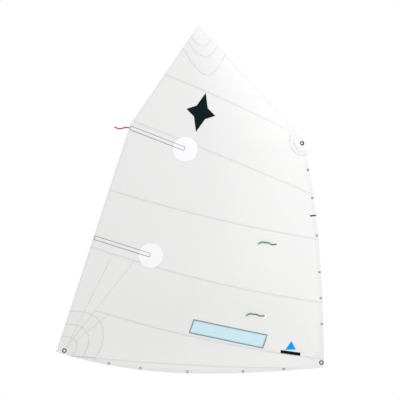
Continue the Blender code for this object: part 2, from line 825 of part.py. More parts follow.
def edge_eyelet(name, place, metal):
    """A one-piece eyelet set through the panels and the port tape."""
    low, high = grip(0, 1)
    barrel = EDGE_BORE + EYELET_WALL
    front_flange = flange(EDGE_BORE, EDGE_FLANGE, low, low - FLANGE_THICKNESS)
    back_flange = flange(EDGE_BORE, EDGE_FLANGE, high, high + FLANGE_THICKNESS)
    profile = front_flange + [(barrel, low), (barrel, high)] + back_flange[::-1]
    lathe(name, profile, EDGE_EYELET_SIDES, metal, seat(place, EDGE_FLANGE))


def corner_eyelet(name, place, layers, metal):
    """A two-part eyelet: the barrel from starboard, and a washer that its rolled lip holds."""
    low, high = grip(*layers)
    frame = seat(place, CORNER_FLANGE)
    barrel = CORNER_BORE + EYELET_WALL
    lip_y = high + FLANGE_THICKNESS + GAP
    profile = flange(CORNER_BORE, CORNER_FLANGE, low, low - FLANGE_THICKNESS)
    profile += [(barrel, low), (barrel, lip_y), (barrel + 2 * EYELET_WALL, lip_y)]
    profile += [(barrel + 2 * EYELET_WALL, lip_y + EYELET_WALL), (CORNER_BORE, lip_y + EYELET_WALL)]
    lathe(f"{name}_eyelet", profile, CORNER_EYELET_SIDES, metal, frame)
    washer = flange(barrel + HOLE_CLEARANCE, CORNER_FLANGE, high, high + FLANGE_THICKNESS)
    washer.append((barrel + HOLE_CLEARANCE, high))
    lathe(f"{name}_eyelet_washer", washer, CORNER_EYELET_SIDES, metal, frame)


def edge_eyelet_places():
    places = {}
    for count, share in enumerate(LUFF_EYELETS_AT, start=1):
        normal = outward(front(share - 0.01), front(share + 0.01))
        places[f"luff_eyelet_{count}"] = front(share) - normal * EDGE_EYELET_INSET
    for count, share in enumerate(FOOT_EYELETS_AT, start=1):
        normal = outward(foot(share - 0.01), foot(share + 0.01))
        places[f"foot_eyelet_{count}"] = foot(share) - normal * EDGE_EYELET_INSET
    return places


CORNER_EYELETS = {
    "tack": (TACK_EYELET, (0, 2)),
    "throat": (THROAT_EYELET, (len(THROAT_PATCHES), 1)),
    "clew": (CLEW_EYELET, (len(CLEW_PATCHES), 1)),
}


def hole_cutter():
    """One helper that holds a cutter for each eyelet's barrel, which its flats clear."""
    bm = bmesh.new()
    across_corners = 1 / math.cos(math.pi / EDGE_EYELET_SIDES)
    holes = [(place, EDGE_BORE, EDGE_FLANGE) for place in edge_eyelet_places().values()]
    holes += [(place, CORNER_BORE, CORNER_FLANGE) for place, _ in CORNER_EYELETS.values()]
    for place, bore, reach in holes:
        radius = (bore + EYELET_WALL + HOLE_CLEARANCE) * across_corners
        lie_along = Matrix.Rotation(math.pi / 2, 4, "X")
        bmesh.ops.create_cone(
            bm,
            cap_ends=True,
            segments=EDGE_EYELET_SIDES,
            radius1=radius,
            radius2=radius,
            depth=HOLE_CUTTER_DEPTH,
            matrix=seat(place, reach) @ lie_along,
        )
    mesh = mesh_from(bm, "eyelet_hole_cutter")
    cutter = bpy.data.objects.new("eyelet_hole_cutter", mesh)
    bpy.context.scene.collection.objects.link(cutter)
    cutter.hide_render = True
    cutter.display_type = "WIRE"
    return cutter


# Marks


def star_outline(centre):
    points = []
    for i in range(8):
        radius = STAR_WAIST if i % 2 else (STAR_SHORT, STAR_LONG)[i // 2 % 2]
        points.append(centre + direction(math.pi / 4 * i - STAR_TILT) * radius)
    return points


def box_outline(centre, size, heading):
    run = direction(heading)
    rise = Vector((-run.y, run.x))
    half = (size[0] / 2, size[1] / 2)
    return [centre + run * u * half[0] + rise * v * half[1] for u, v in ((-1, -1), (1, -1), (1, 1), (-1, 1))]


def marks(dark, blue, black):
    across, drop = STAR_AT
    on_seam = bowed(leech(SEAM_HEAD[0]), front(SEAM_HEAD[1]), SEAM_HEAD[2], across)
    star = star_outline(on_seam - Vector((0, drop)))
    sheet("star_mark_starboard", star, FRONT_PANEL - 1, dark)
    sheet("star_mark_port", star, BACK_PANEL + 1, dark)

    length, width = LUFF_MARK
    inner = front(LUFF_MARK_AT) - outward(TACK, THROAT) * (length / 2 + GAP)
    stripe = box_outline(inner, LUFF_MARK, LUFF_RAKE)
    sheet("luff_mark_starboard", stripe, FRONT_PANEL - 1, dark)
    sheet("luff_mark_port", stripe, BACK_PANEL + 2, dark)

    share, lift = BADGE_AT
    near, far = lower_seam(share, 1)[:2]
    heading = math.atan2(*(far - near).yx)
    hull = near + Vector((0, lift))
    sheet("badge_hull", box_outline(hull, BADGE_HULL, heading), FRONT_PANEL - 1, black)
    tall, wide = BADGE_SAIL
    base = hull + Vector((0, BADGE_HULL[1] / 2 + BADGE_GAP))
    corners = ((-wide / 2, 0), (wide / 2, 0), (BADGE_RAKE * wide, tall))
    triangle = [base + Vector(corner) for corner in corners]
    sheet("badge_sail", triangle, FRONT_PANEL - 1, blue)


# Peak becket


def becket(webbing):
    """A strap on the port side, sewn down at both ends and arched between them."""
    down = ((THROAT - PEAK).normalized() + (BEND - PEAK).normalized()).normalized()
    place = PEAK + down * BECKET_BELOW_PEAK
    heading = math.atan2(-down.x, down.y) + math.pi
    frame = seat(place, BECKET_SPAN / 2 + BECKET_LEG / 2, heading)
    seated = BACK_PANEL * LAYER + CLOTH / 2 + BECKET_SEAT_GAP
    half_span = BECKET_SPAN / 2
    arch = [(-half_span - BECKET_LEG, 0.0), (-half_span, 0.0)]
    for step in range(1, BECKET_STEPS):
        angle = math.pi * (1 - step / BECKET_STEPS)
        arch.append((half_span * math.cos(angle), BECKET_RISE * math.sin(angle)))
    arch += [(half_span, 0.0), (half_span + BECKET_LEG, 0.0)]
    bm = bmesh.new()
    lower, upper = [], []
    for i, (u, rise) in enumerate(arch):
        before, after = arch[max(i - 1, 0)], arch[min(i + 1, len(arch) - 1)]
        tangent = Vector((after[0] - before[0], after[1] - before[1])).normalized()
        normal = Vector((-tangent.y, tangent.x))
        lower.append(bm.verts.new((u, seated + rise, -BECKET_WIDTH / 2)))
        thick = (u + normal.x * BECKET_THICKNESS, seated + rise + normal.y * BECKET_THICKNESS)
        upper.append(bm.verts.new((thick[0], thick[1], -BECKET_WIDTH / 2)))
    face = bm.faces.new(lower + upper[::-1])
    grown = bmesh.ops.extrude_face_region(bm, geom=[face])
    moved = [v for v in grown["geom"] if isinstance(v, bmesh.types.BMVert)]
    bmesh.ops.translate(bm, verts=moved, vec=(0, 0, BECKET_WIDTH))
    obj = link("peak_becket", mesh_from(bm, "peak_becket"), webbing)
    obj.matrix_world = frame


# Ribbons


def telltale_sway(share):
    """A long rise over the outer half, with a small ripple near the fixed end."""
    rise = TELLTALE_LIFT * math.sin(0.9 * math.pi * share**1.8)
    return rise + TELLTALE_RIPPLE * (1 - share) * math.sin(2 * math.pi * share / 0.36)


def leech_ribbon_sway(share):
    return RIBBON_WAVE * math.sqrt(share) * math.sin(2.4 * math.pi * share)


def ribbon(name, frame, length, width, sway_at, side, curl, material):
    """A waving strip along the frame's -X from its fixed end, standing off on one side of the sail."""
    bm = bmesh.new()
    rows = []
    for i in range(RIBBON_STEPS + 1):
        u = length * i / RIBBON_STEPS
        sway = sway_at(i / RIBBON_STEPS)
        off = side * (TELLTALE_STANDOFF + curl * u * u / 2)
        rows.append(
            [
                bm.verts.new((-u, off + y, sway + z))
                for y, z in (
                    (-TELLTALE_THICKNESS / 2, -width / 2),
                    (TELLTALE_THICKNESS / 2, -width / 2),
                    (TELLTALE_THICKNESS / 2, width / 2),
                    (-TELLTALE_THICKNESS / 2, width / 2),
                )
            ]
        )
    for near, far in zip(rows, rows[1:]):
        for k in range(4):
            bm.faces.new((near[k], near[(k + 1) % 4], far[(k + 1) % 4], far[k]))
    bm.faces.new(rows[0][::-1])
    bm.faces.new(rows[-1])
    obj = link(name, mesh_from(bm, name), material)
    obj.matrix_world = frame
    return obj


def telltale_frame(chord_share, height_share, raised):
    z = height_share * LUFF_LENGTH + raised
    aft, fore = x_on_line(CLEW, BEND, z), x_on_line(TACK, THROAT, z)
    return seat(Vector((aft + (fore - aft) * chord_share, z)), TELLTALE_SEAT_REACH)


def telltales(green, red):
    for place, at in (("upper", UPPER_TELLTALE), ("lower", LOWER_TELLTALE)):
        for side, way, raised, curl, material in (
            ("starboard", -1, 0, 0, green),
            ("port", 1, PORT_TELLTALE_RAISED, TELLTALE_CURL, red),
        ):
            ribbon(
                f"{place}_telltale_{side}",
                telltale_frame(*at, raised),
                TELLTALE_LENGTH,
                TELLTALE_WIDTH,
                telltale_sway,
                way,
                curl,
                material,
            )
    place = CLEW.lerp(BEND, RIBBON_AT) + Vector((RIBBON_FORWARD, 0))
    frame = seat(place, RIBBON_SEAT_REACH)
    ribbon("leech_ribbon", frame, RIBBON_LENGTH, RIBBON_WIDTH, leech_ribbon_sway, 1, 0, red)


def main():
    clear_scene()
    cloth = make_material("sailcloth", WHITE_CLOTH, 0.45)
    patch_cloth = make_material("patch_cloth", WHITE_CLOTH, 0.5)
    tape_cloth = make_material("tape_cloth", WHITE_CLOTH, 0.55)
    pocket_cloth = make_material("pocket_cloth", POCKET_GREY, 0.5)
    disc_cloth = make_material("disc_cloth", PATCH_WHITE, 0.4)
    film = make_material("window_film", FILM_BLUE, 0.1)
    border = make_material("window_border", STITCH_GREY, 0.6)
    dark = make_material("mark_dark", MARK_DARK, 0.4)
    blue = make_material("mark_blue", MARK_BLUE, 0.4)
    black = make_material("mark_black", MARK_BLACK, 0.4)
    webbing = make_material("webbing", WHITE_CLOTH, 0.8)
    green = make_material("telltale_green", TELLTALE_GREEN, 0.6)
    red = make_material("telltale_red", TELLTALE_RED, 0.6)
    nickel = make_material("dark_nickel", NICKEL, 0.3, 1.0)
    rod = make_material("glass_fibre", GLASS_FIBRE, 0.3)

    cutter = hole_cutter()
    pierced = panels(cloth) | corner_patches(patch_cloth) | tapes(tape_cloth)
    for name, obj in pierced.items():
        if name != "head_panel" and not name.startswith("peak"):
            pierce(obj, cutter)

    window(film, border)
    batten_set("upper", Pocket(UPPER_POCKET_AT, UPPER_POCKET_SLOPE), pocket_cloth, disc_cloth, rod)
    batten_set("lower", Pocket(LOWER_POCKET_AT, LOWER_POCKET_SLOPE), pocket_cloth, disc_cloth, rod)
    for name, place in edge_eyelet_places().items():
        edge_eyelet(name, place, nickel)
    for name, (place, layers) in CORNER_EYELETS.items():
        corner_eyelet(name, place, layers, nickel)
    marks(dark, blue, black)
    becket(webbing)
    telltales(green, red)


main()
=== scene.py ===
import json
import math

import bmesh
import bpy
from mathutils import Matrix, Vector
from mathutils.bvhtree import BVHTree
from mathutils.kdtree import KDTree


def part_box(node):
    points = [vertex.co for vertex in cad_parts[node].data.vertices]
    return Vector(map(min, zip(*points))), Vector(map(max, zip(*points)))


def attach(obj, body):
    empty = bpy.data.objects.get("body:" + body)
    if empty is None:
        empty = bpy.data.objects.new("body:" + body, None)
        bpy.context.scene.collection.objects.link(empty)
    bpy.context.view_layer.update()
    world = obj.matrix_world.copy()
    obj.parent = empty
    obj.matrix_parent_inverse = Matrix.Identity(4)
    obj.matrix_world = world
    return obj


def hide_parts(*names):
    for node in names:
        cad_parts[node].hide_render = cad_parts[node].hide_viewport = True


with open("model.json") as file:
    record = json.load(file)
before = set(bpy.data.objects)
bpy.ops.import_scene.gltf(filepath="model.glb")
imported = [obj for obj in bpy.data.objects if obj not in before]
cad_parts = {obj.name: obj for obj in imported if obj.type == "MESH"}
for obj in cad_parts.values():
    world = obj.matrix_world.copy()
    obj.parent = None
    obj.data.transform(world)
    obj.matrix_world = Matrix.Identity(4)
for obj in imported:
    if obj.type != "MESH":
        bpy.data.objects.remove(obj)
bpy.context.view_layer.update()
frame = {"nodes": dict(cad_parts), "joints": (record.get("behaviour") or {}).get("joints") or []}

# Sail plan and hollow: the same shape that the CAD sheets were laid on, here left smooth

plan = {
    "luff": 1.724,
    "foot": 2.013,
    "head": 1.161,
    "peakGain": 0.8734,  # how much farther the peak is from the tack than the throat is, over the head
    "luffRake": 5.1,
    "footRise": 3.3,
    "tackCorner": (0.0195, -0.0375),
    "roach": 0.172,
    "roachAt": 0.665,
}
hollow = {
    "depth": 0.07,
    "straightFrom": 0.55,
    "footShare": 0.3,
    "fullAt": 0.4,
    "throatEase": 0.06,
    "leastChord": 0.05,
    "facet": 0.12,  # size of the flat triangles that the CAD sheets are made of
}
smoothWithin = math.radians(50)  # edges sharper than this stay sharp


def along(angle):
    return Vector((math.cos(angle), math.sin(angle)))


def whereCirclesMeet(a, radiusA, b, radiusB):
    line = b - a
    x = (radiusA**2 - radiusB**2 + line.length_squared) / (2 * line.length)
    unit = line.normalized()
    return a + unit * x + Vector((-unit.y, unit.x)) * math.sqrt(radiusA**2 - x**2)


def planCorners():
    tack = Vector(plan["tackCorner"])
    throat = tack + along(math.pi / 2 + math.radians(plan["luffRake"])) * plan["luff"]
    clew = tack + along(math.pi - math.radians(plan["footRise"])) * plan["foot"]
    peak = whereCirclesMeet(tack, plan["luff"] + plan["peakGain"] * plan["head"], throat, plan["head"])
    leechLine = (clew - peak).normalized()
    bend = clew.lerp(peak, plan["roachAt"]) + Vector((leechLine.y, -leechLine.x)) * plan["roach"]
    return tack, throat, clew, peak, bend


tack, throat, clew, peak, bend = planCorners()


def xOnLine(a, b, z):
    return a.x + (b.x - a.x) * (z - a.y) / (b.y - a.y)


def bellyShape(share):  # height of the section over its greatest: round forward, straight aft
    straight = hollow["straightFrom"]
    rise = 4 / (2 - straight) ** 2
    if share > straight:
        return rise * (1 - share)
    return rise * share * (2 / straight - 1 - share / straight**2)


def belly(x, z):
    luffX, headX = xOnLine(tack, throat, z), xOnLine(throat, peak, z)
    fore = (luffX + headX - math.sqrt((luffX - headX) ** 2 + hollow["throatEase"] ** 2)) / 2
    chord = max(fore - xOnLine(clew, bend, z), hollow["leastChord"])
    up = min(max(z / (hollow["fullAt"] * plan["luff"]), 0.0), 1.0)
    fullness = hollow["footShare"] + (1 - hollow["footShare"]) * up * up * (3 - 2 * up)
    return -hollow["depth"] * chord * fullness * bellyShape((fore - x) / chord)


bellyAtTack = belly(0, 0)


def smoothAt(x, z):
    return belly(x, z) - bellyAtTack


facetCorners = {}


def facetCorner(i, j):
    if (i, j) not in facetCorners:
        facetCorners[i, j] = smoothAt(i * hollow["facet"], j * hollow["facet"])
    return facetCorners[i, j]


def facetAt(x, z):  # Y of the faceted surface that the CAD sheets lie on
    i, j = math.floor(x / hollow["facet"]), math.floor(z / hollow["facet"])
    u, v = x / hollow["facet"] - i, z / hollow["facet"] - j
    low, high = facetCorner(i, j), facetCorner(i + 1, j + 1)
    if u >= v:
        side = facetCorner(i + 1, j)
        return low + (side - low) * u + (high - side) * v
    side = facetCorner(i, j + 1)
    return low + (high - side) * u + (side - low) * v


# Small creases of a sail under load: a fan at each corner, and a slight bow between the eyelets

creases = {
    "fanHeight": 0.0011,
    "fanReach": 0.55,
    "fanFrom": 0.02,
    "fanSkew": 0.6,
    "fanCount": 15,
    "corners": (clew, tack, throat),
    "luffBow": 0.0012,
    "luffPitch": 0.27,
    "fade": 0.07,
}


def creaseAt(x, z):
    total = 0.0
    for corner in creases["corners"]:
        away = Vector((x, z)) - corner
        reach = away.length / creases["fanReach"]
        if creases["fanFrom"] < reach < 1:
            swell = (math.sin(math.pi * reach ** creases["fanSkew"])) ** 2 * (1 - reach)
            fold = math.sin(creases["fanCount"] * math.atan2(away.y, away.x))
            total += creases["fanHeight"] * swell * fold
    fromLuff = (xOnLine(tack, throat, z) - x) / creases["fade"]
    if 0 < z < plan["luff"] and fromLuff < 3:
        scallop = 0.5 - 0.5 * math.cos(2 * math.pi * z / creases["luffPitch"])
        total -= creases["luffBow"] * scallop * math.exp(-max(fromLuff, 0) ** 2)
    return total


def lay(x, height, z):  # a point of the sail in its true place, from its height over the sail's middle
    return Vector((x, smoothAt(x, z) + creaseAt(x, z) + height, z))


def seatOn(x, z, reach, turn=0.0):  # a frame on the sail: X along the turn in the plan, Y to port
    slopeX = (smoothAt(x + reach, z) - smoothAt(x - reach, z)) / (2 * reach)
    slopeZ = (smoothAt(x, z + reach) - smoothAt(x, z - reach)) / (2 * reach)
    port = Vector((-slopeX, 1, -slopeZ)).normalized()
    ahead = Vector((math.cos(turn), 0, math.sin(turn)))
    ahead = (ahead - port * ahead.dot(port)).normalized()
    axes = Matrix((ahead, port, ahead.cross(port))).transposed().to_4x4()
    return Matrix.Translation(lay(x, 0, z)) @ axes


# Materials


def toLinear(hexColour):
    parts = [int(hexColour[i : i + 2], 16) / 255 for i in (1, 3, 5)]
    return (*[c / 12.92 if c <= 0.04045 else ((c + 0.055) / 1.055) ** 2.4 for c in parts], 1.0)


def addNode(tree, kind, inputs=None, **settings):
    node = tree.nodes.new(kind)
    for name, value in settings.items():
        setattr(node, name, value)
    for name, value in (inputs or {}).items():
        if isinstance(value, bpy.types.NodeSocket):
            tree.links.new(value, node.inputs[name])
        else:
            node.inputs[name].default_value = value
    return node


def startMaterial(name):
    material = bpy.data.materials.new(name)
    material.use_nodes = True
    tree = material.node_tree
    return material, tree, tree.nodes["Principled BSDF"]


def setSockets(shader, **values):
    for name, value in values.items():
        shader.inputs[name].default_value = value


def wovenCloth(name, colour, shade, look):
    # woven polyester: flat, even threads, filled with resin, so it is smooth with a soft gloss
    material, tree, shader = startMaterial(name)
    uv = addNode(tree, "ShaderNodeUVMap", uv_map="cloth")
    pitch = math.pi / 10 / (look["threadMm"] * 0.001)  # a wave texture of scale 1 repeats every pi / 10
    bands = {"Vector": uv.outputs["UV"], "Scale": pitch, "Distortion": 0.0}
    warp = addNode(tree, "ShaderNodeTexWave", bands, bands_direction="X", wave_type="BANDS")
    weft = addNode(tree, "ShaderNodeTexWave", bands, bands_direction="Y", wave_type="BANDS")
    crossings = {0: warp.outputs["Fac"], 1: weft.outputs["Fac"]}
    weave = addNode(tree, "ShaderNodeMath", crossings, operation="MULTIPLY")
    wrinkles = {"Vector": uv.outputs["UV"], "Scale": 1 / (look["crinkleMm"] * 0.001)}
    crinkle = addNode(tree, "ShaderNodeTexNoise", {**wrinkles, "Detail": 3.0, "Roughness": 0.55})
    stretched = {"Vector": uv.outputs["UV"], "Scale": (1 / look["yarnStretch"], 1.0, 1.0)}
    lengths = addNode(tree, "ShaderNodeMapping", stretched)
    yarn = addNode(
        tree,
        "ShaderNodeTexNoise",
        {"Vector": lengths.outputs["Vector"], "Scale": 1 / (look["yarnMm"] * 0.001), "Detail": 2.0},
    )
    tone = addNode(
        tree,
        "ShaderNodeMix",
        {"Factor": yarn.outputs["Fac"], "A": toLinear(colour), "B": toLinear(shade)},
        data_type="RGBA",
    )
    dimple = addNode(
        tree,
        "ShaderNodeMix",
        {"Factor": weave.outputs["Value"], "A": tone.outputs["Result"], "B": toLinear(shade)},
        data_type="RGBA",
    )
    smooth, rough = look["roughness"] - 0.06, look["roughness"] + 0.08
    sheen = {"Value": crinkle.outputs["Fac"], "To Min": smooth, "To Max": rough}
    gloss = addNode(tree, "ShaderNodeMapRange", sheen)
    soft = addNode(
        tree,
        "ShaderNodeBump",
        {"Height": crinkle.outputs["Fac"], "Distance": look["crinkleDeepMm"] * 0.001, "Strength": 0.5},
    )
    fine = addNode(
        tree,
        "ShaderNodeBump",
        {
            "Height": weave.outputs["Value"],
            "Distance": look["threadDeepMm"] * 0.001,
            "Strength": 0.6,
            "Normal": soft.outputs["Normal"],
        },
    )
    tree.links.new(dimple.outputs["Result"], shader.inputs["Base Color"])
    tree.links.new(gloss.outputs["Result"], shader.inputs["Roughness"])
    tree.links.new(fine.outputs["Normal"], shader.inputs["Normal"])
    setSockets(shader, **{"Alpha": look["alpha"], "Specular IOR Level": look["gloss"]})
    return material


clothLook = {
    # real threads lie 0.4 mm apart; they are drawn 7.54 mm apart so that the weave shows
    "threadMm": 7.54,
    "threadDeepMm": 0.12,
    "crinkleMm": 45,
    "crinkleDeepMm": 0.35,
    "yarnMm": 9,
    "yarnStretch": 4,
    "roughness": 0.46,
    "gloss": 0.4,
    "alpha": 0.86,  # both faces of a sheet together let a fiftieth of the light straight through
}
opaqueLook = {**clothLook, "alpha": 1.0}
discLook = {**clothLook, "alpha": 0.95}
markLook = {**opaqueLook, "roughness": 0.65, "gloss": 0.06}
ribbonLook = {
    **opaqueLook,
    "threadMm": 5.655,
    "threadDeepMm": 0.09,
    "crinkleMm": 12,
    "crinkleDeepMm": 0.2,
    "roughness": 0.55,
}
webbingLook = {
    **opaqueLook,
    "threadMm": 10.05,
    "threadDeepMm": 0.16,
    "crinkleMm": 20,
    "crinkleDeepMm": 0.1,
    "roughness": 0.75,
}


vinyl = {"waveMm": 71.43, "waveDeepMm": 0.6, "scuffMm": 6.25, "alpha": 0.6}


def windowFilm():
    # pressed clear vinyl with a pale blue tint: glossy, with faint waves from the roller
    material, tree, shader = startMaterial("pressedVinylFilm")
    uv = addNode(tree, "ShaderNodeUVMap", uv_map="cloth")
    waves = {"Vector": uv.outputs["UV"], "Scale": 1 / (vinyl["waveMm"] * 0.001), "Detail": 1.0}
    scuffs = {"Vector": uv.outputs["UV"], "Scale": 1 / (vinyl["scuffMm"] * 0.001), "Detail": 4.0}
    wave = addNode(tree, "ShaderNodeTexNoise", waves)
    scuff = addNode(tree, "ShaderNodeTexNoise", scuffs)
    tone = addNode(
        tree,
        "ShaderNodeMix",
        {"Factor": scuff.outputs["Fac"], "A": toLinear("#c2e9f6"), "B": toLinear("#cfeef7")},
        data_type="RGBA",
    )
    sheen = {"Value": scuff.outputs["Fac"], "To Min": 0.06, "To Max": 0.2}
    gloss = addNode(tree, "ShaderNodeMapRange", sheen)
    roller = {"Height": wave.outputs["Fac"], "Distance": vinyl["waveDeepMm"] * 0.001, "Strength": 0.5}
    bump = addNode(tree, "ShaderNodeBump", roller)
    tree.links.new(tone.outputs["Result"], shader.inputs["Base Color"])
    tree.links.new(gloss.outputs["Result"], shader.inputs["Roughness"])
    tree.links.new(bump.outputs["Normal"], shader.inputs["Normal"])
    setSockets(shader, Alpha=vinyl["alpha"], IOR=1.52)
    return material


threadPlyMm = 1.5


def sewingThread(name, colour, shade):
    # bonded polyester thread: two plies under a thin bond, a fine slanting grain
    material, tree, shader = startMaterial(name)
    place = addNode(tree, "ShaderNodeTexCoord")
    plies = {"Vector": place.outputs["Object"], "Scale": 1 / (threadPlyMm * 0.001), "Detail": 1.0}
    ply = addNode(tree, "ShaderNodeTexNoise", plies)
    tone = addNode(
        tree,
        "ShaderNodeMix",
        {"Factor": ply.outputs["Fac"], "A": toLinear(colour), "B": toLinear(shade)},
        data_type="RGBA",
    )
    tree.links.new(tone.outputs["Result"], shader.inputs["Base Color"])
    setSockets(shader, Roughness=0.6)
    return material


plate = {"burnishMm": 4, "deepMm": 0.05}


def platedBrass():
    # stamped brass with a dark nickel plate: bright rolled rims, and a slight burnish round the turn
    material, tree, shader = startMaterial("darkNickelPlate")
    place = addNode(tree, "ShaderNodeTexCoord")
    wear = {"Vector": place.outputs["Object"], "Scale": 1 / (plate["burnishMm"] * 0.001), "Detail": 3.0}
    burnish = addNode(tree, "ShaderNodeTexNoise", wear)
    tone = addNode(
        tree,
        "ShaderNodeMix",
        {"Factor": burnish.outputs["Fac"], "A": toLinear("#1b1c1e"), "B": toLinear("#121314")},
        data_type="RGBA",
    )
    shine = {"Value": burnish.outputs["Fac"], "To Min": 0.28, "To Max": 0.46}
    gloss = addNode(tree, "ShaderNodeMapRange", shine)
    dents = {"Height": burnish.outputs["Fac"], "Distance": plate["deepMm"] * 0.001, "Strength": 0.4}
    bump = addNode(tree, "ShaderNodeBump", dents)
    tree.links.new(tone.outputs["Result"], shader.inputs["Base Color"])
    tree.links.new(gloss.outputs["Result"], shader.inputs["Roughness"])
    tree.links.new(bump.outputs["Normal"], shader.inputs["Normal"])
    setSockets(shader, Metallic=0.85)
    return material


# the fibres run halfway between the two battens' slopes
fibres = {"acrossMm": 1.2, "lengthOverWidth": 50, "heading": -19, "deepMm": 0.06}


def pultrudedRod():
    # glass fibre drawn through a die: long pale fibres under clear resin
    material, tree, shader = startMaterial("pultrudedGlassFibre")
    place = addNode(tree, "ShaderNodeTexCoord")
    stretched = (1 / fibres["lengthOverWidth"], 1, 1)
    heading = (0, math.radians(fibres["heading"]), 0)
    lengths = {"Vector": place.outputs["Object"], "Rotation": heading, "Scale": stretched}
    turned = addNode(tree, "ShaderNodeMapping", lengths)
    strands = {"Vector": turned.outputs["Vector"], "Scale": 1 / (fibres["acrossMm"] * 0.001), "Detail": 2.0}
    fibre = addNode(tree, "ShaderNodeTexNoise", strands)
    tone = addNode(
        tree,
        "ShaderNodeMix",
        {"Factor": fibre.outputs["Fac"], "A": toLinear("#e6e8df"), "B": toLinear("#c9cdbf")},
        data_type="RGBA",
    )
    ridges = {"Height": fibre.outputs["Fac"], "Distance": fibres["deepMm"] * 0.001, "Strength": 0.5}
    bump = addNode(tree, "ShaderNodeBump", ridges)
    tree.links.new(tone.outputs["Result"], shader.inputs["Base Color"])
    tree.links.new(bump.outputs["Normal"], shader.inputs["Normal"])
    setSockets(shader, **{"Roughness": 0.3, "Coat Weight": 0.3, "IOR": 1.5})
    return material


finishes = {
    "sail": wovenCloth("resinedPolyester", "#f3f3f3", "#efefef", clothLook),
    "patch": wovenCloth("resinedPolyesterPatch", "#f5f5f5", "#f1f1f1", clothLook),
    "tape": wovenCloth("polyesterEdgeTape", "#f2f2f2", "#ececec", clothLook),
    "pocket": wovenCloth("polyesterPocketCloth", "#eeeeee", "#e8e8e8", opaqueLook),
    "disc": wovenCloth("whiteInsigniaCloth", "#ffffff", "#fbfcff", discLook),
    "darkMark": wovenCloth("darkInsigniaCloth", "#08191e", "#0e1f24", markLook),
    "blueMark": wovenCloth("blueInsigniaCloth", "#00a4f3", "#0c9ce4", markLook),
    "blackMark": wovenCloth("blackInsigniaCloth", "#0c0d0e", "#141516", markLook),
    "green": wovenCloth("greenRipstop", "#3b9566", "#318557", ribbonLook),
    "red": wovenCloth("redRipstop", "#c0202e", "#a61a28", ribbonLook),
    "webbing": wovenCloth("polyesterWebbing", "#f2f2f0", "#dcdcda", webbingLook),
    "border": wovenCloth("slateBindingTape", "#8fa1a8", "#7f9198", opaqueLook),
    "film": windowFilm(),
    "greyThread": sewingThread("greyBondedThread", "#5c5c5c", "#484848"),
    "whiteThread": sewingThread("whiteBondedThread", "#efefef", "#dadada"),
    "darkThread": sewingThread("slateBondedThread", "#2b3336", "#20272a"),
    "blueGreyThread": sewingThread("blueGreyBondedThread", "#465358", "#39464b"),
    "nickel": platedBrass(),
    "rod": pultrudedRod(),
}
print("materials ready:", len(finishes))

# Cloth: each CAD sheet's starboard face is pressed flat, cut finely and laid on the smooth hollow

clothSheet = {
    "thick": 0.00035,
    "cell": 0.01,
    "starboardNormal": -0.4,  # a face whose normal's Y is below this faces starboard
    "sameLayer": 0.0001,
    "flatWithin": math.radians(0.6),
    "probeFrom": 0.05,
}


def startPiece(name, bm, finish, body="sail"):
    mesh = bpy.data.meshes.new(name)
    bm.to_mesh(mesh)
    bm.free()
    piece = bpy.data.objects.new(name, mesh)
    bpy.context.scene.collection.objects.link(piece)
    mesh.materials.append(finishes[finish])
    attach(piece, body)
    return piece


def pressFlat(node):
    bm = bmesh.new()
    bm.from_mesh(frame["nodes"][node].data)
    bmesh.ops.remove_doubles(bm, verts=bm.verts, dist=1e-5)
    others = [f for f in bm.faces if f.normal.y > clothSheet["starboardNormal"]]
    bmesh.ops.delete(bm, geom=others, context="FACES")
    for vert in bm.verts:
        vert.co.y -= facetAt(vert.co.x, vert.co.z)
    base = max(v.co.y for v in bm.verts)  # the layer's own height; a pocket's hump stands further out
    for vert in bm.verts:
        if abs(vert.co.y - base) < clothSheet["sameLayer"]:
            vert.co.y = base
    bmesh.ops.dissolve_limit(bm, angle_limit=clothSheet["flatWithin"], verts=bm.verts, edges=bm.edges)
    return bm


def loopsOf(bm):
    ahead = {}
    for edge in bm.edges:
        if edge.is_boundary:
            loop = edge.link_loops[0]
            ahead[loop.vert] = loop.link_loop_next.vert
    loops = []
    while ahead:
        start, here = ahead.popitem()
        points = [Vector((start.co.x, start.co.z))]
        while here is not start:
            points.append(Vector((here.co.x, here.co.z)))
            here = ahead.pop(here)
        loops.append(points)
    return loops


def lengthOf(points):
    return sum((b - a).length for a, b in zip(points, points[1:]))


